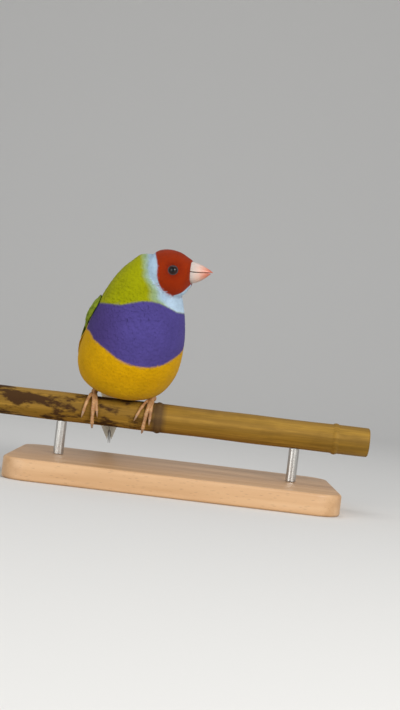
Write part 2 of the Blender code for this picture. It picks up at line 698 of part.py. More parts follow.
def make_stand(perch):
    """A flat base and two short rods whose tops are hollowed to take the perch."""
    bpy.ops.mesh.primitive_cube_add(size=MM, location=(0, 0, BASE_THICKNESS / 2 * MM))
    base = bpy.context.object
    base.name = base.data.name = "stand_base"
    base.scale = (BASE_LENGTH, BASE_DEPTH, BASE_THICKNESS)
    bpy.ops.object.transform_apply(location=True, rotation=False, scale=True)
    bm = bmesh.new()
    bm.from_mesh(base.data)
    uprights = [e for e in bm.edges if abs(e.verts[0].co.z - e.verts[1].co.z) > WELD]
    bmesh.ops.bevel(bm, geom=uprights, offset=BASE_CORNER * MM, segments=6, profile=0.5, affect="EDGES")
    top = max(v.co.z for v in bm.verts)
    rim = [e for e in bm.edges if all(top - v.co.z < WELD for v in e.verts)]
    bmesh.ops.bevel(bm, geom=rim, offset=BASE_EDGE * MM, segments=2, profile=0.5, affect="EDGES")
    bm.to_mesh(base.data)
    bm.free()
    placed(base, material("beech", BEECH, 0.45))
    cutter = grown(perch, GAP)
    low, high = BASE_THICKNESS + GAP, PERCH_AXIS
    for name, x in (("stand_rod_left", -ROD_SPACING / 2), ("stand_rod_right", ROD_SPACING / 2)):
        bpy.ops.mesh.primitive_cylinder_add(
            vertices=20, radius=ROD_RADIUS * MM, depth=(high - low) * MM,
            location=(x * MM, 0, (high + low) / 2 * MM),
        )
        rod = bpy.context.object
        rod.name = rod.data.name = name
        placed(rod, material("steel", STEEL, 0.3, 1.0))
        boolean(rod, [cutter], "DIFFERENCE", keep=True)
    bpy.data.objects.remove(cutter)


def main():
    for old in list(bpy.data.objects):
        bpy.data.objects.remove(old)
    body = make_whole_body()
    head, neck, torso, coverts = part_body(body)
    make_eyes(head)
    make_bill()
    cutters = [grown(piece, GAP) for piece in (torso, neck, coverts)]
    for side in SIGN:
        make_wing(side, cutters)
        make_foot(side, torso, cutters[0])
    make_tail(coverts)
    for used in (*cutters, body):
        bpy.data.objects.remove(used)
    make_stand(make_perch())
    for obj in collection("gouldian_finch").objects:
        obj.data.shade_smooth()
        obj.data.set_sharp_from_angle(angle=radians(35))


main()
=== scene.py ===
# %% [markdown]
# # A Gouldian finch on a cane perch
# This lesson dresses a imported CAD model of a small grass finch, life size, that grips a cut
# length of cane on a plain stand. The CAD solids fix where everything is. Here they get skin,
# feathers, eyes, horn, wood grain and light. Lengths are in millimetres while a shape is being
# worked out, and a finished mesh is in metres, in the same frame as the solids.

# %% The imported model
from math import acos, atan2, cos, pi, radians, sin

import bmesh
import bpy
import numpy as np
from mathutils import Matrix, Vector
from mathutils.bvhtree import BVHTree


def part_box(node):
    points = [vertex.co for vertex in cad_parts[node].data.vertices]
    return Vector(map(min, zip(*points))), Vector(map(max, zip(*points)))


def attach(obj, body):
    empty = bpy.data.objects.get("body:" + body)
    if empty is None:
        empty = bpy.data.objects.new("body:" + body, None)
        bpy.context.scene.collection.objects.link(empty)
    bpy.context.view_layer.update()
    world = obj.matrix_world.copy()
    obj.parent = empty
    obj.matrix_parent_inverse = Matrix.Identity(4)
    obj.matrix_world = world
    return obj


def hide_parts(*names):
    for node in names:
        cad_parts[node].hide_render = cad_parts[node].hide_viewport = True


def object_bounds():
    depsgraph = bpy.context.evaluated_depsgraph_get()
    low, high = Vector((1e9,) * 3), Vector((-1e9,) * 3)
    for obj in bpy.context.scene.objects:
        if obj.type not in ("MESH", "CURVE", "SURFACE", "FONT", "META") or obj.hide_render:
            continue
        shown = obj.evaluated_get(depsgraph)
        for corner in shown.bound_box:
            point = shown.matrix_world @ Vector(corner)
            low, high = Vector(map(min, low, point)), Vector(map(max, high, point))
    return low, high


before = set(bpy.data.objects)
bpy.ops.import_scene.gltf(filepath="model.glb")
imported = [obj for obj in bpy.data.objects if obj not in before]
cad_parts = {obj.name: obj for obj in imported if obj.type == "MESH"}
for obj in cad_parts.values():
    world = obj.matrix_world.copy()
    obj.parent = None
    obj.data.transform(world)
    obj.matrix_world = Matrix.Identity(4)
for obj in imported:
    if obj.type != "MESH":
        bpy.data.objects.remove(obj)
cad_box = [list(corner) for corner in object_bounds()]
print("solids:", len(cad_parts))
print("box in mm:", [[round(v * 1000, 1) for v in corner] for corner in cad_box])

# %% [markdown]
# ## The bird's own frame
# A perched bird is seldom square to the world: this one turns its body a little and its head a
# lot. Points are therefore worked out in the bird's frame, forward, left and up, and then
# turned and leaned into the world. A table of stations gives the outline of the body from the
# nape to the tail, and a smooth curve through the rows gives every place between them. The
# same tables shaped the solids, so what is built on them here fits without measuring.

# %% Frame and stations
MM = 0.001
UP = Vector((0.0, 0.0, 1.0))
SIGN = {"left": 1.0, "right": -1.0}
FEET_X, PERCH_TOP, PERCH_RADIUS = -24.2, 32.0, 5.6
PERCH_AXIS = PERCH_TOP - PERCH_RADIUS
BODY_X = FEET_X + 3.6
BODY_YAW, HEAD_YAW = radians(17.0), radians(76.0)
TAIL_BEND, BEND_FROM, BEND_TO = radians(16.5), -14.0, -36.0
LEAN, LEAN_FROM = 0.042, 42.0
HEAD_CENTRE = Vector((FEET_X + 14.0, -9.6, PERCH_TOP + 49.3))
# back f and u, front f and u, half width
BODY_STATIONS = (
    (5.0, 56.8, 11.0, 53.8, 4.9),
    (0.2, 51.5, 15.5, 44.5, 11.2),
    (-4.8, 45.0, 18.0, 37.8, 14.7),
    (-10.8, 37.2, 20.3, 29.0, 17.4),
    (-16.5, 28.5, 20.3, 19.5, 19.2),
    (-22.0, 20.5, 15.9, 7.6, 19.6),
    (-26.0, 15.3, 7.6, 0.1, 16.6),
    (-29.0, 11.8, -6.0, 1.2, 11.4),
    (-32.0, 8.9, -20.0, 1.6, 6.6),
    (-35.6, 5.8, -31.4, -0.8, 4.6),
    (-43.2, -1.0, -40.6, -4.9, 3.2),
    (-49.0, -6.4, -48.0, -8.1, 2.0),
)
WING_STATIONS = BODY_STATIONS[:10] + (
    (-43.6, 0.4, -40.6, -4.9, 4.3),
    (-50.4, -4.2, -47.9, -9.3, 4.2),
    (-56.8, -8.4, -54.3, -13.5, 4.1),
)
# forward of the head's centre, top, bottom, half width
HEAD_STATIONS = (
    (-9.9, 0.9, -0.9, 1.2),
    (-9.2, 3.6, -3.4, 3.6),
    (-7.6, 6.3, -5.8, 5.7),
    (-5.0, 8.7, -7.6, 7.2),
    (-1.0, 9.4, -8.6, 8.0),
    (3.0, 8.8, -8.7, 7.8),
    (6.0, 7.4, -7.5, 6.5),
    (7.8, 6.4, -5.0, 5.3),
    (8.8, 5.7, -3.4, 4.1),
)
print(len(BODY_STATIONS), "stations on the body,", len(HEAD_STATIONS), "on the head")

# %% [markdown]
# ## Two frames
# Body and head each have a frame of their own, so that the head can turn without the body. A
# point is given as forward, left and up, and one function for each frame puts it in the world.
# The body's also leans the back a little and bends the tail aside, as a perched bird does.

# %% From the bird to the world


def ground_way(angle):
    """A level direction, turned by the angle from facing the viewer towards +X."""
    return Vector((sin(angle), -cos(angle), 0.0))


FORWARD, LEFT = ground_way(BODY_YAW), UP.cross(ground_way(BODY_YAW))
HEAD_FORWARD, HEAD_LEFT = ground_way(HEAD_YAW), UP.cross(ground_way(HEAD_YAW))


def bird_point(f, l, u):
    """A point of the bird's frame in the world. Behind the hips the body bends to its left."""
    if f < BEND_FROM:
        reach = f - BEND_FROM
        share = reach / (BEND_TO - BEND_FROM)
        turn = TAIL_BEND * min(1.0, share)
        sway = TAIL_BEND * (share / 2 if share < 1.0 else 1.0 - 0.5 / share)
        f, l = BEND_FROM + reach * cos(sway) + l * sin(turn), l * cos(turn) - reach * sin(sway)
    flat = FORWARD * f + LEFT * l
    return Vector((BODY_X + flat.x + LEAN * (max(u, 0.0) - LEAN_FROM), flat.y, PERCH_TOP + u))


def head_point(forward, left, up):
    return HEAD_CENTRE + HEAD_FORWARD * forward + HEAD_LEFT * left + UP * up


print("crown", [round(v, 1) for v in head_point(0, 0, 8.7)], "mm")

# %% [markdown]
# ## Between the stations
# A Catmull-Rom curve goes through every row of a table without a corner, so a dozen rows are
# enough for a body. A point is then a place along the rows, an angle round from the back and a
# height over the outline. Wings and feathers are laid in the same three numbers.

# %% Curves through the stations


def station(table, place):
    """The row of a table of stations at any place between them, by a Catmull-Rom curve."""
    rows = np.array(table, float)
    place = min(max(place, 0.0), len(rows) - 1.0)
    i = min(int(place), len(rows) - 2)
    x = place - i
    a, b = rows[i], rows[i + 1]
    before = rows[i - 1] if i > 0 else 2 * a - b
    after = rows[i + 2] if i + 2 < len(rows) else 2 * b - a
    return 0.5 * (
        2 * a + (b - before) * x + (2 * before - 5 * a + 4 * b - after) * x * x
        + (3 * a - before - 3 * b + after) * x ** 3
    )


def body_point(table, place, angle, height):
    """A point at a station and an angle from the back, at a height over the outline."""
    back_f, back_u, front_f, front_u, half_width = station(table, place)
    reach = Vector((back_f - front_f, back_u - front_u)) / 2
    along = reach.normalized() * (reach.length + height) * cos(angle)
    middle_f, middle_u = (back_f + front_f) / 2, (back_u + front_u) / 2
    return bird_point(middle_f + along.x, (half_width + height) * sin(angle), middle_u + along.y)


print("middle of the back", [round(v, 1) for v in body_point(BODY_STATIONS, 4.0, 0.0, 0.0)], "mm")

# %% [markdown]
# ## Small helpers
# Blender keeps a mesh apart from the object that shows it, and bmesh is its workbench. These
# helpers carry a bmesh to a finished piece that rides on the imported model, apply modifiers
# where a later step has to measure the result, and weld the loose triangles of a solid's copy.

# %% Helpers for meshes


def object_of(name, bm):
    """Frees a bmesh held in metres into a new object."""
    mesh = bpy.data.meshes.new(name)
    bm.to_mesh(mesh)
    bm.free()
    return bpy.data.objects.new(name, mesh)


def piece(name, bm, finish, slot=None, sharp=40.0, stands_for=()):
    """Frees a bmesh into an object that rides on the model."""
    return dressed(object_of(name, bm), finish, slot, sharp, stands_for)


def dressed(obj, finish, slot=None, sharp=40.0, stands_for=()):
    """Gives an object its finish, its edges and its place on the model."""
    if not obj.users_collection:
        bpy.context.scene.collection.objects.link(obj)
    obj.data.materials.clear()
    obj.data.materials.append(finish)
    obj.data.shade_smooth()
    if sharp:
        obj.data.set_sharp_from_angle(angle=radians(sharp))
    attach(obj, "root")
    if stands_for:
        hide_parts(*stands_for)
    print(f"{obj.name}: {sum(len(p.vertices) - 2 for p in obj.data.polygons)} triangles")
    return obj


def applied(obj):
    """Replaces a mesh by what its modifiers make of it."""
    if not obj.users_collection:
        bpy.context.scene.collection.objects.link(obj)
    graph = bpy.context.evaluated_depsgraph_get()
    mesh = bpy.data.meshes.new_from_object(obj.evaluated_get(graph))
    obj.modifiers.clear()
    obj.data = mesh
    return obj


def fused(obj, voxel, steps):
    """Remeshes a mesh to one skin of small even faces and relaxes it."""
    remesh = obj.modifiers.new("fuse", "REMESH")
    remesh.mode, remesh.voxel_size = "VOXEL", voxel * MM
    smooth = obj.modifiers.new("relax", "SMOOTH")
    smooth.factor, smooth.iterations = 0.5, steps
    return applied(obj)


def node_copy(node):
    """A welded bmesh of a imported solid, whose own mesh is loose triangles and stays as it is."""
    bm = bmesh.new()
    bm.from_mesh(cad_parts[node].data)
    bmesh.ops.remove_doubles(bm, verts=bm.verts, dist=1e-6)
    return bm


def spun(bm, profile, axis, steps, weld):
    """Turns a profile once round an axis through the origin and welds it where it meets."""
    bmesh.ops.spin(
        bm, geom=profile, cent=(0, 0, 0), axis=axis, angle=2 * pi, steps=steps, use_merge=True,
        dvec=(0, 0, 0),
    )
    bmesh.ops.remove_doubles(bm, verts=bm.verts, dist=weld)
    bmesh.ops.recalc_face_normals(bm, faces=bm.faces)


def tree_of(obj):
    bm = bmesh.new()
    bm.from_mesh(obj.data)
    tree = BVHTree.FromBMesh(bm)
    bm.free()
    return tree


welded = node_copy("head")
print("head:", len(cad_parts["head"].data.vertices), "points,", len(welded.verts), "once welded")
welded.free()

# %% [markdown]
# ## Colours and nodes
# Colours are written as the hex values that a picture shows and turned to the linear light
# that a renderer works in. One helper adds any node: values for its sockets, links into them
# and its own properties, so that each material below reads as a short recipe.

# %% Helpers for materials


def linear(hex_colour):
    """An sRGB hex colour as linear red, green, blue and alpha."""
    parts = [int(hex_colour[i:i + 2], 16) / 255 for i in (1, 3, 5)]
    return (*(c / 12.92 if c <= 0.04045 else ((c + 0.055) / 1.055) ** 2.4 for c in parts), 1.0)


def output_of(source):
    """The socket that a link starts from: a node stands for its first output."""
    return source.outputs[0] if isinstance(source, bpy.types.Node) else source


def add(tree, kind, values=None, links=None, **properties):
    """Adds a node to a tree, with its properties, socket values and links from other nodes."""
    node = tree.nodes.new("ShaderNode" + kind)
    for name, value in properties.items():
        setattr(node, name, value)
    for socket, value in (values or {}).items():
        node.inputs[socket].default_value = value
    for socket, source in (links or {}).items():
        tree.links.new(output_of(source), node.inputs[socket])
    return node


def finish_named(name):
    """A new material, its node tree and its Principled shader."""
    made = bpy.data.materials.new(name)
    made.use_nodes = True
    return made, made.node_tree, made.node_tree.nodes["Principled BSDF"]


def set_shader(shader, **settings):
    """Sets inputs of a shader, each to a value or to a link from another node."""
    for name, setting in settings.items():
        socket = shader.inputs[name.replace("_", " ")]
        if isinstance(setting, (bpy.types.Node, bpy.types.NodeSocket)):
            shader.id_data.links.new(output_of(setting), socket)
        else:
            socket.default_value = setting


def set_stops(ramp, *stops):
    """Gives a colour ramp its stops, each a place from 0 to 1 and a hex colour."""
    elements = ramp.color_ramp.elements
    for spot, shade in stops[1:-1]:
        elements.new(spot).color = linear(shade)
    for element, (spot, shade) in ((elements[0], stops[0]), (elements[-1], stops[-1])):
        element.position, element.color = spot, linear(shade)


MIX_A, MIX_B, MIX_OUT = 6, 7, 2  # the colour sockets of a Mix node
print("half grey is", round(linear("#808080")[0], 3), "in linear light")

# %% [markdown]
# ## Where each colour grows
# A male Gouldian finch wears blocks of colour with clean borders: a red mask, a pale blue
# collar, a lime nape, a violet breast, a golden belly and a white vent. The colours could be
# painted on an image, but skin and feathers then have to share an unwrap. One function of place
# is simpler: it takes points and gives colours, so that skin and feathers always agree. Borders
# on the head are drawn in the head's frame, because they turn with it.

# %% Markings
PALETTE = {
    "mask": "#8e2a05", "mask dark": "#721c06", "collar": "#a3bbce", "bib": "#b6cddf",
    "lime": "#8f9100", "green edge": "#8ba683", "mantle": "#6f8c12", "rump": "#8db7d6",
    # breast painted shade: a darker violet painted on the bird's right side, away from the key lamp
    "breast": "#4b4181", "breast painted shade": "#43346a", "belly": "#c69600", "belly low": "#c49b06",
    "vent": "#c6b996", "wing": "#7c8c22", "flight": "#6b6353", "flight edge": "#8b9660",
    "tail": "#7a7165", "tail edge": "#9c9384", "tail below": "#cdc4b2",
}
SHADES = {name: np.array(linear(value)[:3]) for name, value in PALETTE.items()}
EYE_FORWARD, EYE_UP = 3.2, 1.3
# The mask's middle, forward and up on the head, and how far it reaches forward, back and down
MASK_MIDDLE, MASK_FRONT, MASK_BACK, MASK_LOW = (3.2, 0.5), 8.2, 6.2, 8.85
# Heights on the head, each with the width of the collar there
COLLAR_WIDTH = ((-10.0, 2.8), (-7.5, 1.7), (-5.5, 2.0), (-2.0, 4.2), (10.0, 4.8))
# How far aside of the breast's middle, and the height of its upper and its lower border there
BREAST_TOP = ((0.0, 37.9), (3.5, 37.6), (7.5, 36.4), (11.0, 35.2), (20.0, 35.3))
BREAST_BOTTOM = (
    (0.0, 13.2), (3.0, 13.4), (5.7, 13.9), (8.7, 15.0), (10.6, 16.2), (15.3, 19.5), (17.6, 21.6),
    (19.0, 25.0),
)
# Heights, each with how far behind the middle line the front's colours reach
FLANK_LIMIT = ((10.0, -16.0), (18.0, -12.0), (25.0, -7.0), (30.0, -2.4))
MIDDLE_LINE = tuple((((b + d) / 2), (a + c) / 2) for a, b, c, d, _ in reversed(BODY_STATIONS))
print(len(SHADES), "shades")

# %% [markdown]
# ## Soft steps and borders
# Nearly every border is a smooth step across a line: how far a place is past the line decides,
# and the width of the step makes the border crisp or soft. The lines are tables, read by the
# distance aside or by the height. The mask is drawn as a distance, because the blue collar has
# to follow its edge at a width of its own.

# %% Steps, places and borders


def step_between(value, start, end):
    """0 before the start, 1 past the end, and a smooth rise between them."""
    x = np.clip((value - start) / (end - start), 0.0, 1.0)
    return x * x * (3.0 - 2.0 * x)


def table_curve(value, table):
    return np.interp(value, [row[0] for row in table], [row[1] for row in table])


def in_head(points):
    """Points as forward, left and up of the head's centre."""
    away = points - np.array(HEAD_CENTRE)
    return away @ np.array(HEAD_FORWARD), away @ np.array(HEAD_LEFT), away[:, 2]


def head_distance(points):
    return np.linalg.norm(points - np.array(HEAD_CENTRE), axis=1)


def in_bird(points):
    """Points as forward, left and up of the bird, the bend of the tail left out."""
    up = points[:, 2] - PERCH_TOP
    x = points[:, 0] - BODY_X - LEAN * (np.maximum(up, 0.0) - LEAN_FROM)
    return x * FORWARD.x + points[:, 1] * FORWARD.y, x * LEFT.x + points[:, 1] * LEFT.y, up


def mask_distance(forward, left, up):
    """How far outside the red mask a place on the head is, less than 0 within it."""
    ahead, above = forward - MASK_MIDDLE[0], up - MASK_MIDDLE[1]
    across = ahead / np.where(ahead > 0.0, MASK_FRONT, MASK_BACK)
    cheek = (np.hypot(across, above / MASK_LOW) - 1.0) * 7.0
    crown = -3.0 - 0.06 * above ** 2 - forward
    chin = np.maximum(-3.0 - 0.6 * left * left, 0.6 * forward - 10.4) - up
    return np.where(above > 0.0, crown, np.where(ahead > 0.0, np.maximum(cheek, chin), cheek))


# %% [markdown]
# ## The colour at a place
# Colours are laid like washes. The lime of the nape is the ground over the whole bird, and each
# further shade is blended over it by its share at that place, so the later one wins.

# %% Colour at a place


def blended(colours, shade, share):
    return colours + (SHADES[shade] - colours) * share[:, None]


def plumage_at(points):
    """The colour that grows at each of an array of points, in millimetres."""
    forward, left, up = in_head(points)
    f, l, u = in_bird(points)
    side = np.abs(l)
    frontness = f - table_curve(u, MIDDLE_LINE)
    front = step_between(frontness - table_curve(u, FLANK_LIMIT), 0.0, 1.2)
    breast_low = table_curve(side, BREAST_BOTTOM) + 1.5 * np.maximum(0.0, -frontness - 1.0)
    breast_high = table_curve(side, BREAST_TOP)
    belly = front * step_between(breast_low - u, -4.0, -3.6)
    over_belly = step_between(u - breast_low, -0.3, 0.3)
    breast = front * over_belly * step_between(breast_high - u, -0.4, 0.4)
    outside = mask_distance(forward, left, up)
    to_collar = table_curve(up, COLLAR_WIDTH) - outside
    from_head = head_distance(points)
    on_head = step_between(u - breast_high, -0.3, 0.5) * step_between(24.0 - from_head, 0.0, 3.0)
    mask = step_between(-outside, -0.25, 0.25)
    near_eye = np.hypot(forward - EYE_FORWARD, up - EYE_UP)
    colours = np.tile(SHADES["lime"], (len(points), 1))
    for shade, share in (
        ("mantle", step_between(-frontness, 2.0, 8.0) * step_between(-u, -46.0, -38.0)),
        ("belly", belly),
        ("belly low", belly * step_between(-u, -9.0, -1.0) * 0.7),
        ("vent", step_between(-f, 16.0, 26.0) * step_between(-u, -9.0, -4.5)),
        ("rump", step_between(-f, 20.0, 25.0) * step_between(-frontness, -0.3, 1.0)),
        ("breast", breast),
        # painted shade: the breast darkens towards the bird's right side, away from the key lamp
        ("breast painted shade", breast * step_between(-l, 4.0, 18.0) * 0.8),
        ("green edge", step_between(to_collar + 2.0, -1.2, 1.2) * on_head * 0.75),
        ("collar", step_between(to_collar, -0.9, 0.9) * on_head),
        ("bib", step_between(forward, 0.0, 2.4) * step_between(-up, 2.0, 5.0) * on_head),
        ("mask", mask),
        ("mask dark", mask * step_between(4.5 - near_eye, 0.0, 2.0) * 0.5),
    ):
        colours = blended(colours, shade, share)
    return colours


print("colour on the crown", plumage_at(np.array([head_point(0.0, 0.0, 9.0)]))[0].round(3))

# %% [markdown]
# ## One skin
# Under its feathers a bird is one body, so the solids' head, neck, torso and tail coverts are
# replaced by one skin without a seam. Each form starts as a sphere whose rings are sent to the
# stations. A voxel remesh fuses head and body and gives even faces, smoothing rounds the
# throat, and every point then sinks along its normal by the depth of the plumage over it, so
# that the tips of the feathers end on the outline of the solids.

# %% Skin
SKIN_VOXEL, SKIN_SMOOTHING = 0.5, 24
HEAD_DEPTH, BODY_DEPTH = 0.27, 0.48  # how deep the plumage lies


def formed(bm, columns, rows, place):
    """Adds a closed form made from a sphere: place(share, angle) is where each point goes."""
    made = bmesh.ops.create_uvsphere(bm, u_segments=columns, v_segments=rows, radius=1.0)["verts"]
    for vert in made:
        share = acos(max(-1.0, min(1.0, vert.co.z))) / pi * rows
        if 0.5 < share < rows - 0.5:
            vert.co = place((share - 1.0) / (rows - 2.0), atan2(vert.co.y, vert.co.x)) * MM
        else:
            end = 0.0 if share < 0.5 else 1.0
            vert.co = (place(end, 0.0) + place(end, pi)) / 2 * MM
    return made


def body_form(share, angle):
    return body_point(BODY_STATIONS, share * (len(BODY_STATIONS) - 1), angle, 0.0)


def head_form(share, angle):
    forward, top, bottom, half_width = station(HEAD_STATIONS, share * (len(HEAD_STATIONS) - 1))
    up = (top + bottom) / 2 + (top - bottom) / 2 * cos(angle)
    return head_point(forward, half_width * sin(angle), up)


bm = bmesh.new()
formed(bm, 44, 54, body_form)
formed(bm, 36, 28, head_form)
bmesh.ops.recalc_face_normals(bm, faces=bm.faces)
skin = fused(object_of("skin", bm), SKIN_VOXEL, SKIN_SMOOTHING)
outline = tree_of(skin)
solid_points = [v.co for n in ("head", "torso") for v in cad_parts[n].data.vertices]
gaps = [outline.find_nearest(point)[3] / MM for point in solid_points]
print(f"skin to solids: mean {np.mean(gaps):.2f} mm, 95% within {np.percentile(gaps, 95):.2f} mm")


# %% [markdown]
# ## Room for the feathers
# The skin now has the outline of the whole bird, so it has to sink before feathers are laid on
# it. They are shortest round the bill and the eyes, and so the coat is thinnest there. The skin
# also keeps the colour of each point as an attribute, darker than the plumage: painted shade.

# %% Depth of the coat


def coat_depth(points):
    """How deep the plumage is at each point: least round the bill and the eyes."""
    on_body = step_between(head_distance(points), 9.5, 16.0)
    deep = HEAD_DEPTH + (BODY_DEPTH - HEAD_DEPTH) * on_body
    return deep * (0.45 + 0.55 * step_between(9.0 - in_head(points)[0], 0.0, 3.5))


def vectors_of(obj, kind="co"):
    """The points of a mesh, or their normals, as an array."""
    vectors = np.empty(len(obj.data.vertices) * 3)
    obj.data.vertices.foreach_get(kind, vectors)
    return vectors.reshape(-1, 3)


def paint(obj, colours):
    """Keeps a colour for each point of a mesh in the attribute that the plumage reads."""
    layer = obj.data.attributes.new("plumage", "FLOAT_COLOR", "POINT")
    layer.data.foreach_set("color", np.hstack([colours, np.ones((len(colours), 1))]).ravel())


places = vectors_of(skin) / MM
sunk = places - vectors_of(skin, "normal") * coat_depth(places)[:, None]
skin.data.vertices.foreach_set("co", (sunk * MM).ravel())
# The skin's colour is the plumage's, a fifth darker: painted shade in the gaps between feathers
paint(skin, plumage_at(sunk) * 0.8)
skin_tree = tree_of(skin)
print(f"coat: {coat_depth(places).min():.2f} to {coat_depth(places).max():.2f} mm deep")

# %% [markdown]
# ## What a feather looks like
# A contour feather has a fine shaft and barbs that leave it at about 40 degrees, and its edge is
# soft where the barbs end loose. The material reads the vane map, which runs across and along
# each feather, so the barbs follow it wherever it lies. Feathers scatter light softly at
# grazing angles, which the shader's sheen gives, and they are never glossy.

# %% Material: soft plumage
BARB_SLANT = 0.55  # how far the barbs lean to the tip, for each width that they run outwards


def plumage_finish(name, barb_step, roughness, sheen):
    """Feather whose colour is the plumage attribute; barb_step is in shares of its length."""
    made, tree, shader = finish_named(name)
    colour = add(tree, "Attribute", attribute_name="plumage")
    vane_map = add(tree, "UVMap", uv_map="vane")
    split = add(tree, "SeparateXYZ", links={0: vane_map})
    from_shaft = add(tree, "Math", {1: 0.5}, {0: split}, operation="SUBTRACT")
    away = add(tree, "Math", links={0: from_shaft}, operation="ABSOLUTE")
    along = split.outputs[1]
    slant = add(tree, "Math", {1: -BARB_SLANT}, {0: away, 2: along}, operation="MULTIPLY_ADD")
    place = add(tree, "TexCoord").outputs["Object"]
    stray = add(tree, "TexNoise", {"Scale": 900.0, "Detail": 2.0}, {"Vector": place})
    bent = add(tree, "Math", {1: 0.05}, {0: stray, 2: slant}, operation="MULTIPLY_ADD")
    barb_turn = add(tree, "Math", {1: 2 * pi / barb_step}, {0: bent}, operation="MULTIPLY")
    barbs = add(tree, "Math", links={0: barb_turn}, operation="SINE")
    shaft = add(tree, "MapRange", {1: 0.0, 2: 0.045, 3: 0.88, 4: 1.0}, {0: away})
    shade = add(tree, "Math", {1: 0.07, 2: 0.97}, {0: barbs}, operation="MULTIPLY_ADD")
    shaded = add(tree, "Math", links={0: shade, 1: shaft}, operation="MULTIPLY")
    deep = add(tree, "MapRange", {1: 0.1, 2: 0.7, 3: 0.82, 4: 1.0}, {0: along})
    value = add(tree, "Math", links={0: shaded, 1: deep}, operation="MULTIPLY")
    mottle = add(tree, "TexNoise", {"Scale": 160.0, "Detail": 3.0}, {"Vector": place})
    uneven = add(tree, "MapRange", {1: 0.3, 2: 0.7, 3: 0.93, 4: 1.07}, {0: mottle})
    value = add(tree, "Math", links={0: value, 1: uneven}, operation="MULTIPLY")
    lit = add(tree, "VectorMath", links={0: colour, "Scale": value}, operation="SCALE")
    bump = add(tree, "Bump", {"Strength": 0.35, "Distance": 0.00006}, {"Height": barbs})
    set_shader(
        shader, Base_Color=lit, Normal=bump, Roughness=roughness, Sheen_Weight=sheen,
        Sheen_Roughness=0.45, Specular_IOR_Level=0.06,
    )
    return made


# Loose keratin barbs 0.1 to 0.3 mm apart give the eye a soft, matt nap that runs with the coat
soft_plumage = plumage_finish("contour plumage, barbed keratin", 0.075, 0.8, 0.06)
print("nodes in the plumage:", len(soft_plumage.node_tree.nodes))

# %% [markdown]
# ## How a coat is laid
# Feathers lie like shingles: each root is covered by the tips in front of it. The roots are
# spread with a least distance between them, small at the bill and eyes and larger on the body.
# Each feather is one grid closed underneath, a few dozen faces, and its points are dropped on
# the skin and raised from root to tip, so the rows overlap without cutting into the form. A
# particle system could place them too, but it isn't mesh and is lost when a model is exported.

# %% A single feather
TEMPLATE_ROWS = (0.0, 0.22, 0.46, 0.68, 0.83, 0.94, 1.0)
TEMPLATE_COLUMNS = 6
FRINGE = 0.11  # how deep the loose ends of the barbs notch the tip, as a share of the length
VARIANTS = 6
LOOSENESS = 0.02  # how much higher some feathers lie than others
SEEN_AT, OF_ONE_COLOUR = 0.72, 0.15  # where on a feather its one colour is read, and its share
dice = np.random.default_rng(11)


def feather_template():
    """A grid with its rows drawn towards the tip, closed underneath. Returns points and faces."""
    bm = bmesh.new()
    last = len(TEMPLATE_ROWS) - 1
    bmesh.ops.create_grid(bm, x_segments=TEMPLATE_COLUMNS, y_segments=last, size=1.0)
    bmesh.ops.holes_fill(bm, edges=[e for e in bm.edges if e.is_boundary], sides=0)
    for vert in bm.verts:
        row = round((vert.co.y + 1.0) / 2.0 * last)
        column = round((vert.co.x + 1.0) / 2.0 * TEMPLATE_COLUMNS)
        vert.co.y = TEMPLATE_ROWS[row] - FRINGE * (column % 2) * TEMPLATE_ROWS[row] ** 8
    points = np.array([v.co[:2] for v in bm.verts])
    faces = [[v.index for v in f.verts] for f in bm.faces]
    bm.free()
    return points, faces


TEMPLATE, TEMPLATE_FACES = feather_template()
print(f"one feather: {len(TEMPLATE)} points, {sum(len(f) - 2 for f in TEMPLATE_FACES)} triangles")


def feather_outline(along):
    """Half width of a contour feather, 1 at its widest, at a share of its length."""
    spread = 0.38 + 0.62 * step_between(along, 0.0, 0.5)
    into_tip = np.clip((along - 0.52) / 0.48, 0.0, 1.0)
    return spread * np.sqrt(np.maximum(0.03, 1.0 - into_tip ** 2.2))


# %% [markdown]
# ## Where feathers root
# Feathers grow at an even distance from each other, which chance alone doesn't give. So many
# more places than needed are drawn at random, each face of the skin by its area, and a place is
# kept only if it is far enough from all that were kept before it.

# %% Roots and the lie of the coat
TRIES = 9  # places drawn for each square of the spacing


def scattered(obj, spacing_of, keep=None):
    """Roots spread over a mesh of quads, each at least its spacing from the next."""
    count = len(obj.data.polygons)
    corners = np.empty(count * 4, int)
    obj.data.polygons.foreach_get("vertices", corners)
    corners = (vectors_of(obj) / MM)[corners.reshape(-1, 4)]
    areas = np.empty(count)
    obj.data.polygons.foreach_get("area", areas)
    middles = corners.mean(axis=1)
    spacing = spacing_of(middles)
    weight = areas / spacing ** 2
    if keep is not None:
        weight = weight * keep(middles)
    tries = int(weight.sum() / MM ** 2 * TRIES)
    chosen = dice.choice(count, tries, p=weight / weight.sum())
    mix = dice.dirichlet((1.0, 1.0, 1.0, 1.0), tries)
    spots = (corners[chosen] * mix[:, :, None]).sum(axis=1)
    least = spacing[chosen]
    taken, found = np.empty((tries, 3)), 0
    kept = []
    for i, (spot, reach) in enumerate(zip(spots, least)):
        away = taken[:found] - spot
        if found and (np.einsum("ij,ij->i", away, away) < reach * reach).any():
            continue
        taken[found] = spot
        found += 1
        kept.append(i)
    return spots[kept], least[kept]


def unit(rows):
    return rows / np.maximum(np.linalg.norm(rows, axis=1), 1e-9)[:, None]


def on_surface(tree, spots):
    """The nearest places on a skin and its normals there, in millimetres."""
    found = [tree.find_nearest(Vector(p)) for p in spots * MM]
    return np.array([f[0] for f in found]) / MM, np.array([f[1] for f in found])


BILL_ROOT = np.array(head_point(9.0, 0.0, 1.5))
TAIL_AIM = np.array(bird_point(-38.0, 0.0, -1.0))


def lie_at(spots):
    """The way that feathers point: from the bill back over the head, then down to the tail."""
    share = step_between(head_distance(spots), 9.0, 17.0)[:, None]
    return unit(unit(spots - BILL_ROOT) * (1.0 - share) + unit(TAIL_AIM - spots) * share)


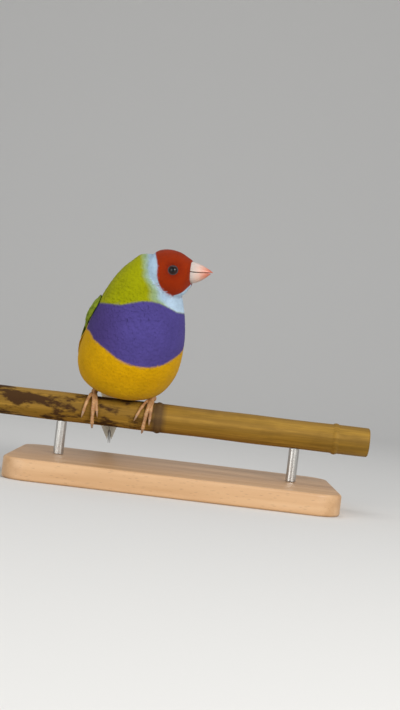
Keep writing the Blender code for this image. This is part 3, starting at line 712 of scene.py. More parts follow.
# %% [markdown]
# ## Many feathers in one mesh
# A thousand objects are slow and clumsy, so all the feathers of one part of the bird share a
# mesh. Each is a copy of the template, bent over the surface, with its tip at the height of the
# coat. A little chance in length, lie and colour keeps the rows from looking printed.

# %% Laying feathers


def feather_mesh(name, points, faces, vane_uv, roots, centre):
    """Joins many feathers, points in millimetres for each, into one mesh with both its maps.

    The OFBake map keeps each feather as a small patch where its root lies on a globe unwrapped
    round the body, which is where an exported model keeps its colours.
    """
    count, each = points.shape[:2]
    mesh = bpy.data.meshes.new(name)
    mesh.vertices.add(count * each)
    mesh.vertices.foreach_set("co", (points * MM).ravel())
    loops = np.concatenate(faces)
    sizes = np.array([len(f) for f in faces])
    starts = np.concatenate([[0], np.cumsum(sizes)[:-1]])
    turns = np.arange(count)[:, None]
    mesh.loops.add(count * len(loops))
    mesh.loops.foreach_set("vertex_index", (loops[None, :] + turns * each).ravel())
    mesh.polygons.add(count * len(sizes))
    mesh.polygons.foreach_set("loop_start", (starts[None, :] + turns * len(loops)).ravel())
    mesh.update(calc_edges=True)
    tiled_uv = np.tile(vane_uv[loops], (count, 1))
    mesh.uv_layers.new(name="vane").data.foreach_set("uv", tiled_uv.ravel())
    away = unit(roots - np.array(centre))
    globe = np.column_stack([
        np.arctan2(away[:, 1], away[:, 0]) / (2 * pi) * 0.98 + 0.5,
        np.arcsin(away[:, 2]) / pi * 0.98 + 0.5,
    ])
    patch = (vane_uv[loops] - 0.5) * 0.003
    bake_uv = (globe[:, None, :] + patch[None, :, :]).reshape(-1, 2)
    mesh.uv_layers.new(name="OFBake").data.foreach_set("uv", bake_uv.ravel())
    return mesh


def lay_feathers(name, tree, roots, ways, lengths, widths, tips, slot, colours_at, centre):
    """One mesh of feathers over a surface. tips is how high each tip lies over it."""
    count, each = len(roots), len(TEMPLATE)
    _, normals = on_surface(tree, roots)
    ways = unit(ways - normals * (ways * normals).sum(axis=1)[:, None])
    sides = np.cross(ways, normals)
    ragged = dice.uniform(0.92, 1.04, (VARIANTS, each))
    kind = dice.integers(0, VARIANTS, count)
    along = TEMPLATE[:, 1][None, :] * np.where(TEMPLATE[:, 1] > 0.6, ragged[kind], 1.0)
    across = TEMPLATE[:, 0][None, :] * feather_outline(TEMPLATE[:, 1])[None, :] * ragged[kind][:, ::-1]
    flat = roots[:, None, :] + ways[:, None, :] * (along * lengths[:, None])[:, :, None]
    flat = flat + sides[:, None, :] * (across * widths[:, None] / 2)[:, :, None]
    spots, outward = on_surface(tree, flat.reshape(-1, 3))
    rise = tips[:, None] * np.sin(np.minimum(along, 1.0) * pi * 0.42) / sin(pi * 0.42)
    camber = 0.022 * widths[:, None] * (1.0 - TEMPLATE[:, 0][None, :] ** 2)
    height = rise + camber + dice.uniform(0.0, LOOSENESS, count)[:, None] - 0.06
    points = (spots + outward * height.reshape(-1, 1)).reshape(count, each, 3)
    vane_uv = np.column_stack([TEMPLATE[:, 0] / 2 + 0.5, TEMPLATE[:, 1]])
    mesh = feather_mesh(name, points, TEMPLATE_FACES, vane_uv, roots, centre)
    shown = np.repeat(colours_at(roots + ways * (lengths * SEEN_AT)[:, None]), each, axis=0)
    colours = OF_ONE_COLOUR * shown + (1.0 - OF_ONE_COLOUR) * colours_at(points.reshape(-1, 3))
    obj = bpy.data.objects.new(name, mesh)
    paint(obj, colours * np.repeat(dice.uniform(0.97, 1.03, count), each)[:, None])
    return dressed(obj, soft_plumage, slot, 60.0)


# %% [markdown]
# ## Contour feathers
# The size of a feather grows with its distance from the bill: on a finch this small, those at
# the lores are rooted 0.4 mm apart, and those on the flanks almost 0.9 mm. Nothing grows where
# the wing hides the skin, on the bill's root or inside the lids.

# %% Contour feathers
LID_RADIUS = 2.1
LENGTH_TO_SPACING, WIDTH_TO_SPACING = 4.3, 2.3
WING_REACH, COAT_END = 3.5, -46.0  # how far off a wing still hides skin, and the last roots
UNRULY = 0.045  # how far the lie of single feathers strays
HEAD_END, NECK_LOW, BREAST_LOW = 10.5, 36.0, 16.0  # where the four parts of the coat meet
wing_trees = []
for side in SIGN:
    bm = node_copy(f"wing_{side}")
    wing_trees.append(BVHTree.FromBMesh(bm))
    bm.free()


def spacing_at(spots):
    forward, left, up = in_head(spots)
    from_bill = np.linalg.norm(spots - BILL_ROOT, axis=1)
    from_eye = np.hypot(forward - EYE_FORWARD, up - EYE_UP)
    spacing = np.interp(from_bill, (4.0, 10.0, 17.0, 30.0), (0.38, 0.52, 0.7, 0.88))
    return np.minimum(spacing, np.interp(from_eye, (2.2, 5.0, 6.0), (0.36, 0.6, 9.0)))


def bare(spots):
    """Where no feather is rooted: inside the lids and under the bill."""
    forward, left, up = in_head(spots)
    from_eye = np.hypot(forward - EYE_FORWARD, up - EYE_UP)
    at_bill = (forward > 7.6) & (np.hypot(left, up - 1.4) < 3.3)
    return (from_eye < LID_RADIUS + 0.15) & (forward > -6.0) & (np.abs(left) > 4.0) | at_bill


def under_wing(spots):
    """Whether a wing lies close over each place on the skin."""
    _, normals = on_surface(skin_tree, spots)
    covered = []
    for spot, normal in zip(spots * MM, normals):
        reach = WING_REACH * MM
        hits = [tree.ray_cast(Vector(spot), Vector(normal), reach)[0] for tree in wing_trees]
        covered.append(any(hit is not None for hit in hits))
    return np.array(covered)


roots, spacings = scattered(skin, spacing_at, lambda spots: (~bare(spots)).astype(float))
ways = lie_at(roots)
hidden = under_wing(roots) & under_wing(roots + ways * (spacings * 2.0)[:, None])
behind_tail = in_bird(roots)[0] < COAT_END
roots, spacings, ways = (rows[~hidden & ~behind_tail] for rows in (roots, spacings, ways))
ways = unit(ways + dice.normal(0.0, UNRULY, ways.shape))
lengths = spacings * LENGTH_TO_SPACING * dice.uniform(0.9, 1.12, len(roots))
widths = spacings * WIDTH_TO_SPACING * dice.uniform(0.92, 1.08, len(roots))
tips = coat_depth(roots) * dice.uniform(0.98, 1.05, len(roots))
print(len(roots), "contour feathers")
u = in_bird(roots)[2]
on_body = head_distance(roots) >= HEAD_END
for name, slot, chosen in (
    ("feathers_head", "red plumage", ~on_body),
    ("feathers_neck", "sky plumage", on_body & (u > NECK_LOW)),
    ("feathers_breast", "purple plumage", on_body & (u <= NECK_LOW) & (u > BREAST_LOW)),
    ("feathers_belly", "purple plumage", on_body & (u <= BREAST_LOW)),
):
    centre = HEAD_CENTRE if name == "feathers_head" else bird_point(0.0, 0.0, 30.0)
    lay_feathers(
        name, skin_tree, roots[chosen], ways[chosen], lengths[chosen], widths[chosen],
        tips[chosen], slot, plumage_at, centre,
    )

# %% [markdown]
# ## Under the plumage
# Skin shows only as the darker depth between feathers, so its finish is the plumage's colour,
# duller and without barbs. It is one closed mesh and takes the place of three solids.

# %% Skin finish
# Matt and a fifth darker than the feathers over it, it reads as the shade between them
skin_finish, tree, shader = finish_named("skin under plumage")
colour = add(tree, "Attribute", attribute_name="plumage")
set_shader(shader, Base_Color=colour, Roughness=0.9, Specular_IOR_Level=0.2)
dressed(skin, skin_finish, "purple plumage", 0.0, ("head", "neck", "torso"))

# %% [markdown]
# ## Stiff feathers
# Wing and tail feathers are long blades on a stiff shaft. All come from one flat grid given a
# wall by the solidify operator; each is sent to its place by a guide that knows the folded
# wing, so that every blade curves round the body. The shaft is a low ridge down the middle.

# %% A stiff vane
VANE_COLUMNS, VANE_STEPS = 6, 16
VANE_WALL, SHAFT_RISE = 0.14, 0.1


def stiff_template():
    """Points across (-1 to 1), along (0 to 1) and over or under, and faces, of a flat vane."""
    bm = bmesh.new()
    bmesh.ops.create_grid(bm, x_segments=VANE_COLUMNS, y_segments=VANE_STEPS, size=1.0)
    bmesh.ops.recalc_face_normals(bm, faces=bm.faces)
    bmesh.ops.solidify(bm, geom=bm.faces[:], thickness=0.02)
    middle = sum(v.co.z for v in bm.verts) / len(bm.verts)
    points = np.array([
        (v.co.x, ((v.co.y + 1.0) / 2.0) ** 0.8, 1.0 if v.co.z > middle else -1.0)
        for v in bm.verts
    ])
    bmesh.ops.recalc_face_normals(bm, faces=bm.faces)
    faces = [[v.index for v in f.verts] for f in bm.faces]
    bm.free()
    return points, faces


STIFF, STIFF_FACES = stiff_template()
print(f"one stiff vane: {len(STIFF)} points, {sum(len(f) - 2 for f in STIFF_FACES)} triangles")


def stiff_points(place, width_of, tip_share, slimness=0.5):
    """A vane's points: place(along, across, over) in millimetres is where each one goes."""
    rows = []
    for across, along, layer in STIFF:
        into_tip = max(0.0, along - 1.0 + tip_share) / tip_share
        half = max(0.06, width_of(along) * (1.0 - into_tip * into_tip) ** slimness) / 2
        shaft = SHAFT_RISE * max(0.0, 1.0 - abs(across) * 2.5) * (1.0 - 0.7 * along)
        camber = 0.05 * half * 2 * (1.0 - across * across)
        over = (VANE_WALL / 2 + shaft if layer > 0 else -VANE_WALL / 2) + camber
        rows.append(place(along, across * half, over))
    return np.array(rows)


# %% [markdown]
# ## Colours of stiff feathers
# A wing feather is darker on its inner web, which the next one hides, and has a coloured edge
# on its outer web. The colours are kept at the points of the vane, as on the soft feathers.

# %% Colours and web


def feather_tints(main, edge, tip, along, across, outer):
    """Colours over vanes: an edge on the outer web, and another shade at the tip."""
    colours = np.tile(SHADES[main], (len(along), 1))
    colours = blended(colours, edge, step_between(across * outer, 0.25, 0.95) * 0.8)
    return blended(colours, tip, step_between(along, 0.86, 1.0) * 0.5)


def stiff_feathers(name, vanes, tints, finish, slot, centre, stands_for=()):
    """Joins vanes, arrays of points, into one mesh with its colours and maps."""
    each = len(STIFF)
    vane_uv = np.column_stack([STIFF[:, 0] / 2 + 0.5, STIFF[:, 1]])
    roots = np.array([v[STIFF[:, 1] < 0.01].mean(axis=0) for v in vanes])
    mesh = feather_mesh(name, np.array(vanes), STIFF_FACES, vane_uv, roots, centre)
    obj = bpy.data.objects.new(name, mesh)
    uneven = np.repeat(dice.uniform(0.94, 1.05, len(vanes)), each)[:, None]
    paint(obj, np.array(tints).reshape(-1, 3) * uneven)
    return dressed(obj, finish, slot, 60.0, stands_for)


# Barbs of a flight feather close up into one web, so it looks smoother, with a silky gleam
flight_web = plumage_finish("flight feather web, keratin", 0.022, 0.55, 0.15)
print("finishes for feathers:", soft_plumage.name, "and", flight_web.name)

# %% [markdown]
# ## The folded wing
# In a folded wing the primaries stack at the lower edge with their tips over the rump, the
# secondaries shingle above them, three tertials close it towards the back, and two tiers of
# coverts hide all the roots. Each tier is a row of numbers: how many feathers, where the first
# begins and ends, and how far each next one steps back. Small coverts then lie on the shoulder.

# %% Plan of the wing
WING_ROOT = (
    (2.5, 88.0, 100.0), (2.85, 72.0, 103.0), (3.5, 50.0, 92.0),
    (4.2, 35.0, 68.0), (5.0, 25.0, 54.0), (6.1, 19.0, 49.0),
)
WING_TUCK = {"left": 0.8, "right": 0.86}
COVERT_SPACING, COVERT_TIPS = 0.9, 0.3  # of the lesser coverts on the arm
ARM_WALL = 0.3
WING_TIERS = (
    # tier, count, first root, first tip, steps of the roots' angle and the tips' station and angle,
    # width, height of the roots, height of the first tip and its step, rounded share, colours
    ("primaries", 9, (4.9, 55.0), (11.0, 31.0), (1.8, 0.25, 1.0), 3.3, 0.6,
     (0.6, 0.16), 0.22, ("flight", "flight edge", "flight")),
    ("secondaries", 8, (4.7, 49.0), (8.5, 34.5), (2.3, 0.12, 2.2), 4.2, 0.8,
     (1.1, 0.14), 0.2, ("flight", "wing", "flight edge")),
    ("tertials", 3, (4.5, 37.0), (7.5, 20.0), (4.0, 0.55, 2.5), 5.6, 1.2,
     (2.35, 0.17), 0.3, ("wing", "flight edge", "wing")),
    ("greater coverts", 11, (3.9, 62.0), (5.5, 51.0), (3.9, 0.02, 3.9), 4.2, 0.8,
     (1.1, 0.07), 0.4, ("wing", "lime", "flight edge")),
    ("median coverts", 10, (3.3, 71.0), (4.6, 58.0), (4.4, 0.02, 4.3), 4.0, 0.85,
     (1.3, 0.07), 0.5, ("wing", "lime", "wing")),
)


def wing_place(side, root, tip, heights):
    """Where a point goes on a wing feather that runs from its root to its tip."""
    sign, tuck = SIGN[side], WING_TUCK[side]

    def place(along, across, over):
        at = root[0] + (tip[0] - root[0]) * along
        angle = (root[1] + (tip[1] - root[1]) * along) * (tuck + (1.0 - tuck) * along)
        height = heights[0] + (heights[1] - heights[0]) * along
        spot = body_point(WING_STATIONS, at, sign * radians(angle), height)
        beside = body_point(WING_STATIONS, at, sign * radians(angle + 2.0), height)
        turned = angle + 2.0 * across / (beside - spot).length
        return body_point(WING_STATIONS, at, sign * radians(turned), height + over + across * 0.05)

    return place


print("feathers in one wing:", sum(row[1] for row in WING_TIERS))

# %% [markdown]
# ## The arm of the wing
# Under the coverts lies the arm, which rounds the shoulder. It is a grid sent to the wing's
# root, thickest in the middle and thin at its edges. The Solidify modifier gives it an inner
# side. The operator would too, but it makes the faces of the rim in another order on each run,
# and small coverts are scattered over the arm by the order of its faces. They hide nearly all
# of it, so it gets the finish of the skin.

# %% Shoulder


def shoulder(side):
    """The arm of the wing as a shell round the body: a grid sent to the wing's root."""
    bm = bmesh.new()
    bmesh.ops.create_grid(bm, x_segments=24, y_segments=40, size=1.0)
    for vert in bm.verts:
        k, share = (vert.co.x + 1.0) / 2.0, (vert.co.y + 1.0) / 2.0
        at, high, low = station(WING_ROOT, share * (len(WING_ROOT) - 1))
        thick = (0.2 + 1.0 * sin(pi * (0.08 + 0.84 * share))) * min(1.0, 0.3 + 2.0 * share)
        angle = SIGN[side] * WING_TUCK[side] * radians(high + (low - high) * k)
        ends = max(0.0, sin(pi * (0.02 + 0.96 * share))) ** 0.5
        round_edge = (max(0.0, sin(pi * k)) * ends) ** 0.5
        vert.co = body_point(WING_STATIONS, at, angle, 0.15 + (0.35 + thick) * round_edge) * MM
    bmesh.ops.recalc_face_normals(bm, faces=bm.faces)
    obj = object_of(f"shoulder_{side}", bm)
    wall = obj.modifiers.new("wall", "SOLIDIFY")
    wall.thickness, wall.offset = ARM_WALL * MM, -1.0
    applied(obj)
    # The arm is the wing's green at 0.7: painted shade under the coverts
    painted_shade_under_coverts = SHADES["wing"] * 0.7
    paint(obj, np.tile(painted_shade_under_coverts, (len(obj.data.vertices), 1)))
    return dressed(obj, skin_finish, "vane green", 60.0)


# %% [markdown]
# ## Laying the wing
# Both wings come from one loop. Coverts further along a tier are sunk deeper at the root, so
# that they rise from under those before them. The lesser coverts are soft, and are scattered
# over the arm as on the body.

# %% Wings
for side in SIGN:
    vanes, tints = [], []
    for tier, count, root, tip, back, width, root_height, tip_height, rounded, shades in WING_TIERS:
        for i in range(count):
            sunk_root = 1.6 * max(0.0, i / (count - 1) - 0.3) if "coverts" in tier else 0.0
            place = wing_place(
                side, (root[0], root[1] - back[0] * i), (tip[0] - back[1] * i, tip[1] - back[2] * i),
                (root_height - sunk_root, tip_height[0] + tip_height[1] * i),
            )
            vanes.append(stiff_points(
                place, lambda x: width * (0.75 + 0.25 * sin(pi * min(1.0, x * 1.3))), rounded,
            ))
            tints.append(feather_tints(*shades, STIFF[:, 1], STIFF[:, 0], 1.0))
    centre = bird_point(-10.0, 0.0, 20.0)
    name, hidden = f"wing_feathers_{side}", (f"wing_{side}",)
    stiff_feathers(name, vanes, tints, flight_web, "vane green", centre, hidden)
    arm = shoulder(side)
    arm_tree = tree_of(arm)
    roots, spacings = scattered(arm, lambda spots: np.full(len(spots), COVERT_SPACING))
    _, outward = on_surface(arm_tree, roots)
    away = unit(roots - np.array(bird_point(-2.0, 0.0, 26.0)))
    fore = roots[:, 2] > body_point(WING_STATIONS, 4.1, SIGN[side] * radians(60.0), 0.0).z
    chosen = ((outward * away).sum(axis=1) > -0.1) & fore
    roots, spacings = roots[chosen], spacings[chosen]
    aim = np.array(body_point(WING_STATIONS, 8.0, SIGN[side] * radians(30.0), 2.0))
    lay_feathers(
        f"lesser_coverts_{side}", arm_tree, roots, unit(aim - roots), spacings * 3.2,
        spacings * 2.0, np.full(len(roots), COVERT_TIPS), "vane green",
        lambda points: np.tile(SHADES["wing"] * 1.08, (len(points), 1)), centre,
    )

# %% [markdown]
# ## Where wing and body meet
# A folded wing isn't laid on the body but tucked into its plumage. Scapulars run down the back
# over its upper edge, and long flank feathers lap over its lower edge. Both are soft, so they
# take the body's colours at the place where they lie.

# %% Scapulars and flank feathers


def edge_angle(at, column):
    """The angle of the wing's upper (1) or lower (2) edge at a station."""
    return float(np.interp(at, [row[0] for row in WING_ROOT], [row[column] for row in WING_ROOT]))


def soft_row(name, places, width, tip_share, slot, centre, seen=0.1):
    """Long soft feathers, each in the body's colour at a share of its length from the root."""
    def width_of(along):
        return width * (0.7 + 0.3 * sin(pi * along))

    vanes = [stiff_points(place, width_of, tip_share) for place in places]
    shades = [plumage_at(np.array([place(seen, 0.0, 0.0)])) for place in places]
    tints = [np.tile(shade, (len(STIFF), 1)) for shade in shades]
    stiff_feathers(name, vanes, tints, soft_plumage, slot, centre)


for side in SIGN:
    scapulars, flanks = [], []
    for row, count, tip_height in ((0, 10, 2.1), (1, 10, 2.3), (2, 10, 2.5)):
        for i in range(count):
            at = 3.0 + 1.7 * i / (count - 1) - 0.12 * row
            upper = edge_angle(at, 1) - 3.0 - 5.0 * row
            tip = (at + 1.05, edge_angle(at + 1.05, 1) + 6.0 - 5.0 * row)
            scapulars.append(wing_place(side, (at, upper), tip, (-0.4, tip_height + 0.02 * i)))
    for row, count, tip_height in ((0, 10, 0.4), (1, 10, 0.6), (2, 10, 0.7)):
        for i in range(count):
            at = 4.15 + 1.25 * i / (count - 1) - 0.08 * row
            lower = edge_angle(at, 2) + 10.0 + 4.0 * row
            tip = (at + 0.7, edge_angle(at + 0.7, 2) - 1.0 + 4.0 * row)
            flanks.append(wing_place(side, (at, lower), tip, (-0.3, tip_height + 0.02 * i)))
    centre = bird_point(-10.0, 0.0, 20.0)
    soft_row(f"scapulars_{side}", scapulars, 3.0, 0.6, "vane green", centre)
    soft_row(f"flank_feathers_{side}", flanks, 2.6, 0.65, "purple plumage", centre, 0.9)

# %% [markdown]
# ## The tail
# Twelve feathers, the middle pair longest and drawn out into bare shafts. They close like a
# fan of cards, each pair under the last, and slope a little like a roof so that the edges
# show. The bare shafts are curves with a bevel, which is the quickest way to a tapering wire.

# %% Tail
TAIL_SLOPE = radians(33.0)
TAIL_ALONG = (-cos(TAIL_SLOPE), -sin(TAIL_SLOPE))
TAIL_NORMAL = (-sin(TAIL_SLOPE), cos(TAIL_SLOPE))
TAIL_ROOT = (-33.5, 2.5)
TAIL_PAIRS, TAIL_LENGTH, TAIL_STEP, TAIL_WIDTH = 6, 43.5, 3.0, 5.2
PIN_START, PIN_END, PIN_RADIUS, PIN_ASIDE = 35.0, 47.0, 0.32, 0.36


def tail_point(along, left, above):
    """A point on or above the tail, measured from the root of its feathers."""
    return bird_point(
        TAIL_ROOT[0] + TAIL_ALONG[0] * along + TAIL_NORMAL[0] * above,
        left,
        TAIL_ROOT[1] + TAIL_ALONG[1] * along + TAIL_NORMAL[1] * above,
    )


def tube(bm, path, radii, sides=4):
    """Adds a tube through a path to a bmesh held in metres, with its own radius at each point."""
    curve = bpy.data.curves.new("path", "CURVE")
    curve.dimensions, curve.bevel_depth, curve.bevel_resolution = "3D", MM, sides
    curve.use_fill_caps = True
    run = curve.splines.new("POLY")
    run.points.add(len(path) - 1)
    for point, place, radius in zip(run.points, path, radii):
        point.co, point.radius = (*(place * MM), 1.0), radius
    route = bpy.data.objects.new("path", curve)
    bpy.context.scene.collection.objects.link(route)
    graph = bpy.context.evaluated_depsgraph_get()
    mesh = bpy.data.meshes.new_from_object(route.evaluated_get(graph))
    bm.from_mesh(mesh)
    bpy.data.objects.remove(route)
    bpy.data.curves.remove(curve)
    bpy.data.meshes.remove(mesh)
    bmesh.ops.remove_doubles(bm, verts=bm.verts, dist=1e-7)


vanes, tints = [], []
for pair in range(TAIL_PAIRS):
    for side in (1.0, -1.0):
        length, offset = TAIL_LENGTH - TAIL_STEP * pair, 0.8 + 0.34 * pair
        height = 0.9 - 0.42 * pair - (0.2 if side < 0 else 0.0)

        def place(along, across, over):
            left = side * offset * (0.4 + 0.9 * along) + across
            above = height * (0.7 + 0.3 * along) + over - abs(left) * 0.12
            return tail_point(3.0 + (length - 3.0) * along, left, above)

        vanes.append(stiff_points(place, lambda x: TAIL_WIDTH * (0.8 + 0.25 * x), 0.7, 1.1))
        tint = feather_tints("tail", "tail edge", "tail edge", STIFF[:, 1], STIFF[:, 0], side)
        tints.append(blended(tint, "tail below", (STIFF[:, 2] < 0) * 1.0))
centre = bird_point(-50.0, 0.0, -5.0)
stiff_feathers("tail_feathers", vanes, tints, flight_web, "vane grey", centre, ("tail",))

# %% [markdown]
# ## Tail coverts and pins
# Soft coverts, blue above and cream below, close over the root of the tail, a row of seven and
# a row of six over their roots. The middle pair of tail feathers ends in bare shafts, the pins.

# %% Tail coverts and pins
for name, count, first, last, heights in (
    ("upper_tail_coverts", 13, 8.0, 22.0, (2.3, 1.3)),
    ("under_tail_coverts", 13, 8.0, 21.0, (-2.4, -2.2)),
):
    places = []
    for i in range(count):
        aside = (i % 7 - 3) * 0.75 if i < 7 else (i % 6 - 2.5) * 0.8
        back = 0.0 if i < 7 else 3.0

        def place(along, across, over, aside=aside, back=back):
            left = aside * (1.0 - 0.35 * along) + across
            round_off = 1.0 - (0.1 / 2.6 if heights[0] > 0 else 0.06) * left * left
            above = (heights[0] + (heights[1] - heights[0]) * along) * round_off
            reach = first - back + (last - first - 1.4 * abs(aside)) * along
            return tail_point(reach, left, above + over * (1.0 if heights[0] > 0 else -1.0))

        places.append(place)
    soft_row(name, places, 2.6, 0.5, "vane grey", bird_point(-40.0, 0.0, 0.0))

bm = bmesh.new()
for side in (1.0, -1.0):
    shares = [i / 12 for i in range(13)]
    runs = [PIN_START + (PIN_END - PIN_START) * x for x in shares]
    path = [tail_point(run, side * PIN_ASIDE, 0.75) for run in runs]
    tube(bm, path, [PIN_RADIUS * (1.0 - 0.8 * x * x) for x in shares])
# A bare shaft is smooth keratin and shows as a grey line with a dull gleam
pin_finish, tree, shader = finish_named("bare feather shaft")
set_shader(shader, Base_Color=linear("#6f665a"), Roughness=0.4)
piece("tail_pins", bm, pin_finish, "vane grey")

# %% [markdown]
# ## Bill
# A finch's bill is a stout cone of keratin over bone, pearly at its base, coral at its tip, and
# smooth with a satin shine. The solids' two halves have the right form but few faces, so each
# is copied, welded, remeshed finely and smoothed. Light enters the horn a little, which keeps
# the pale base from looking like plaster.

# %% Bill
BILL_VOXEL, BILL_SMOOTHING = 0.13, 5
BILL_FROM, BILL_FADE = 8.0, 8.6  # where on the head its colours begin, and how far they run
TO_BILL_TIP = (*HEAD_FORWARD,)
# The pearly base clouds over into coral, under one broad satin highlight
horn_bill, tree, shader = finish_named("bill keratin, satin")
place = add(tree, "TexCoord").outputs["Object"]
forward = add(tree, "VectorMath", {1: TO_BILL_TIP}, {0: place}, operation="DOT_PRODUCT")
base_at = (HEAD_CENTRE.dot(HEAD_FORWARD) + BILL_FROM) * MM
tip_at = base_at + BILL_FADE * MM
reach = add(tree, "MapRange", {1: base_at, 2: tip_at}, {0: forward.outputs["Value"]})
cloud = add(tree, "TexNoise", {"Scale": 420.0, "Detail": 3.0}, {"Vector": place})
shifted = add(tree, "Math", {1: 0.22}, {0: cloud, 2: reach}, operation="MULTIPLY_ADD")
ramp = add(tree, "ValToRGB", links={0: shifted})
set_stops(
    ramp, (0.0, "#a6978e"), (0.25, "#bcb0a7"), (0.55, "#cbaa9a"), (0.8, "#c67f66"), (1.0, "#bb6049"),
)
growth = add(tree, "TexNoise", {"Scale": 1500.0, "Detail": 2.0}, {"Vector": place})
bump = add(tree, "Bump", {"Strength": 0.12, "Distance": 0.00004}, {"Height": growth})
set_shader(
    shader, Base_Color=ramp, Normal=bump, Roughness=0.38, IOR=1.55, Subsurface_Weight=0.12,
    Subsurface_Scale=0.0012, Subsurface_Radius=(1.0, 0.45, 0.3),
)
for node in ("bill_upper", "bill_lower"):
    horn = fused(object_of(f"{node}_horn", node_copy(node)), BILL_VOXEL, BILL_SMOOTHING)
    dressed(horn, horn_bill, "bill pink", 0.0, (node,))

# %% [markdown]
# ## Eyes
# The eye of a finch is almost all pupil and dark brown iris under a wet cornea. The ball is a
# sphere turned so that its pole looks out, and the distance of a point from that pole, kept as
# an attribute, draws pupil and iris. A ring of tiny beads of bare skin forms the lids.

# %% Iris and lids
LID_RING, LID_BEAD, LID_BEADS = 1.72, 0.22, 30  # radii of the ring and its beads, and their number
LID_AHEAD = 1.02  # how far in front of the ball's middle the ring lies
EYE_LOOK = {}
for side in SIGN:
    low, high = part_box(f"eye_{side}")
    EYE_LOOK[side] = ((low + high) / 2 / MM, (high - low).x / 2 / MM)
    print(f"{side} eye: radius {EYE_LOOK[side][1]:.2f} mm")

# The coat is the wet cornea, and gives the dark eye its small bright reflections
eye_finish, tree, shader = finish_named("dark iris under a wet cornea")
from_pole = add(tree, "Attribute", attribute_name="from_pole")
ramp = add(tree, "ValToRGB", links={0: from_pole.outputs["Fac"]})
set_stops(
    ramp, (0.0, "#050404"), (0.3, "#050404"), (0.34, "#2a150d"), (0.52, "#200f0a"),
    (0.58, "#0a0706"), (1.0, "#0a0706"),
)
set_shader(
    shader, Base_Color=ramp, Roughness=0.3, Specular_IOR_Level=0.1, Coat_Weight=0.6,
    Coat_Roughness=0.03, Coat_IOR=1.36,
)

# Dull blackish beads draw a dark line round the eye
lid_finish, tree, shader = finish_named("bare skin of the lids")
place = add(tree, "TexCoord").outputs["Object"]
grains = add(tree, "TexVoronoi", {"Scale": 3600.0}, {"Vector": place})
ramp = add(tree, "ValToRGB", links={0: grains.outputs["Distance"]})
set_stops(ramp, (0.0, "#3c3439"), (0.6, "#231b1f"), (1.0, "#1c1518"))
set_shader(shader, Base_Color=ramp, Roughness=0.55, Subsurface_Weight=0.1, Subsurface_Scale=0.0006)

# %% [markdown]
# ## Ball and lids
# The ball sits where the solid's does and looks to its own side, turned a little along the
# normal of the skin. The lids are a small circle spun to a ring, swelled into beads by a wave.

# %% Ball and lids
for side, sign in SIGN.items():
    centre, radius = EYE_LOOK[side]
    spot, normal, _, _ = skin_tree.find_nearest(centre * MM)
    look = (HEAD_LEFT * sign * 0.8 + normal * 0.6).normalized()
    turn = look.to_track_quat("Z", "Y").to_matrix().to_4x4()
    bm = bmesh.new()
    bmesh.ops.create_uvsphere(bm, u_segments=48, v_segments=40, radius=radius * MM)
    pole = bm.verts.layers.float.new("from_pole")
    for vert in bm.verts:
        vert[pole] = acos(max(-1.0, min(1.0, vert.co.z / (radius * MM)))) / (pi / 2)
    bmesh.ops.transform(bm, matrix=Matrix.Translation(centre * MM) @ turn, verts=bm.verts)
    piece(f"eyeball_{side}", bm, eye_finish, "eye black", 0.0, (f"eye_{side}",))
    bm = bmesh.new()
    rim = bmesh.ops.create_circle(bm, segments=14, radius=LID_BEAD * MM)["verts"]
    bmesh.ops.rotate(bm, cent=(0, 0, 0), matrix=Matrix.Rotation(radians(90), 3, "X"), verts=rim)
    bmesh.ops.translate(bm, vec=(LID_RING * MM, 0, 0), verts=rim)
    spun(bm, bm.edges[:], (0, 0, 1), 120, 1e-7)
    for vert in bm.verts:
        around = atan2(vert.co.y, vert.co.x)
        ring = Vector((cos(around), sin(around), 0.0)) * LID_RING * MM
        swell = 1.0 + 0.22 * abs(sin(around * LID_BEADS / 2))
        vert.co = ring + (vert.co - ring) * swell
        vert.co.y *= 0.93
    lid_at = centre + look * LID_AHEAD
    bmesh.ops.transform(bm, matrix=Matrix.Translation(lid_at * MM) @ turn, verts=bm.verts)
    piece(f"lids_{side}", bm, lid_finish, "eye black", 0.0)

# %% [markdown]
# ## Feet
# Three toes reach forward over the perch and one back. Their upper side is armoured with
# scutes that overlap towards the claw, and soft pads press on the perch below. Tubes follow the
# same paths as the solids, swelling at each pad and stepping at each scute. A fine remesh
# then fuses toes, joint and shank into one foot, as the webs of skin between them do.

# %% Toes and scutes
FOOT_X = {"right": FEET_X - 9.7, "left": FEET_X + 13.0}
TOES = {
    "right": (
        ("outer", -2.9, 96.0, 0.72), ("middle", 0.9, 128.0, 0.85), ("inner", 2.2, 90.0, 0.68),
    ),
    "left": (
        ("inner", -5.2, 88.0, 0.68), ("middle", -2.4, 126.0, 0.85), ("outer", -0.2, 97.0, 0.72),
    ),
}
HIND_TOE = (-84.0, 0.85)
CLAW_LENGTH = {"outer": 3.4, "middle": 4.2, "inner": 3.3, "hind": 4.4}
CURL, MIDDLE_CURL = 0.22, 0.45
FOOT_JOINT_RADIUS, FOOT_JOINT_ANGLE, SHANK_RADIUS, SHANK_RUN = 1.35, -6.0, 0.95, (8.5, 6.5)
GAP, SCUTE = 0.3, 0.95  # the clearance from the perch, and the length of a scute
FOOT_VOXEL, FOOT_SMOOTHING = 0.1, 3


def on_perch(x, angle, clearance):
    """A point over the perch, at an angle from its top towards the viewer."""
    reach = PERCH_RADIUS + clearance
    return Vector((x, -reach * sin(radians(angle)), PERCH_AXIS + reach * cos(radians(angle))))


def toe_point(foot_x, drift, end_angle, radius, x):
    angle = FOOT_JOINT_ANGLE + (end_angle - FOOT_JOINT_ANGLE) * x
    lift = GAP - 0.22 + radius + (FOOT_JOINT_RADIUS - radius) * max(0.0, 1.0 - 4.0 * x)
    ease = max(0.0, abs(angle) - 92.0) / 40.0
    return on_perch(foot_x + drift * x ** 0.8, angle, lift + 1.5 * ease ** 1.3)


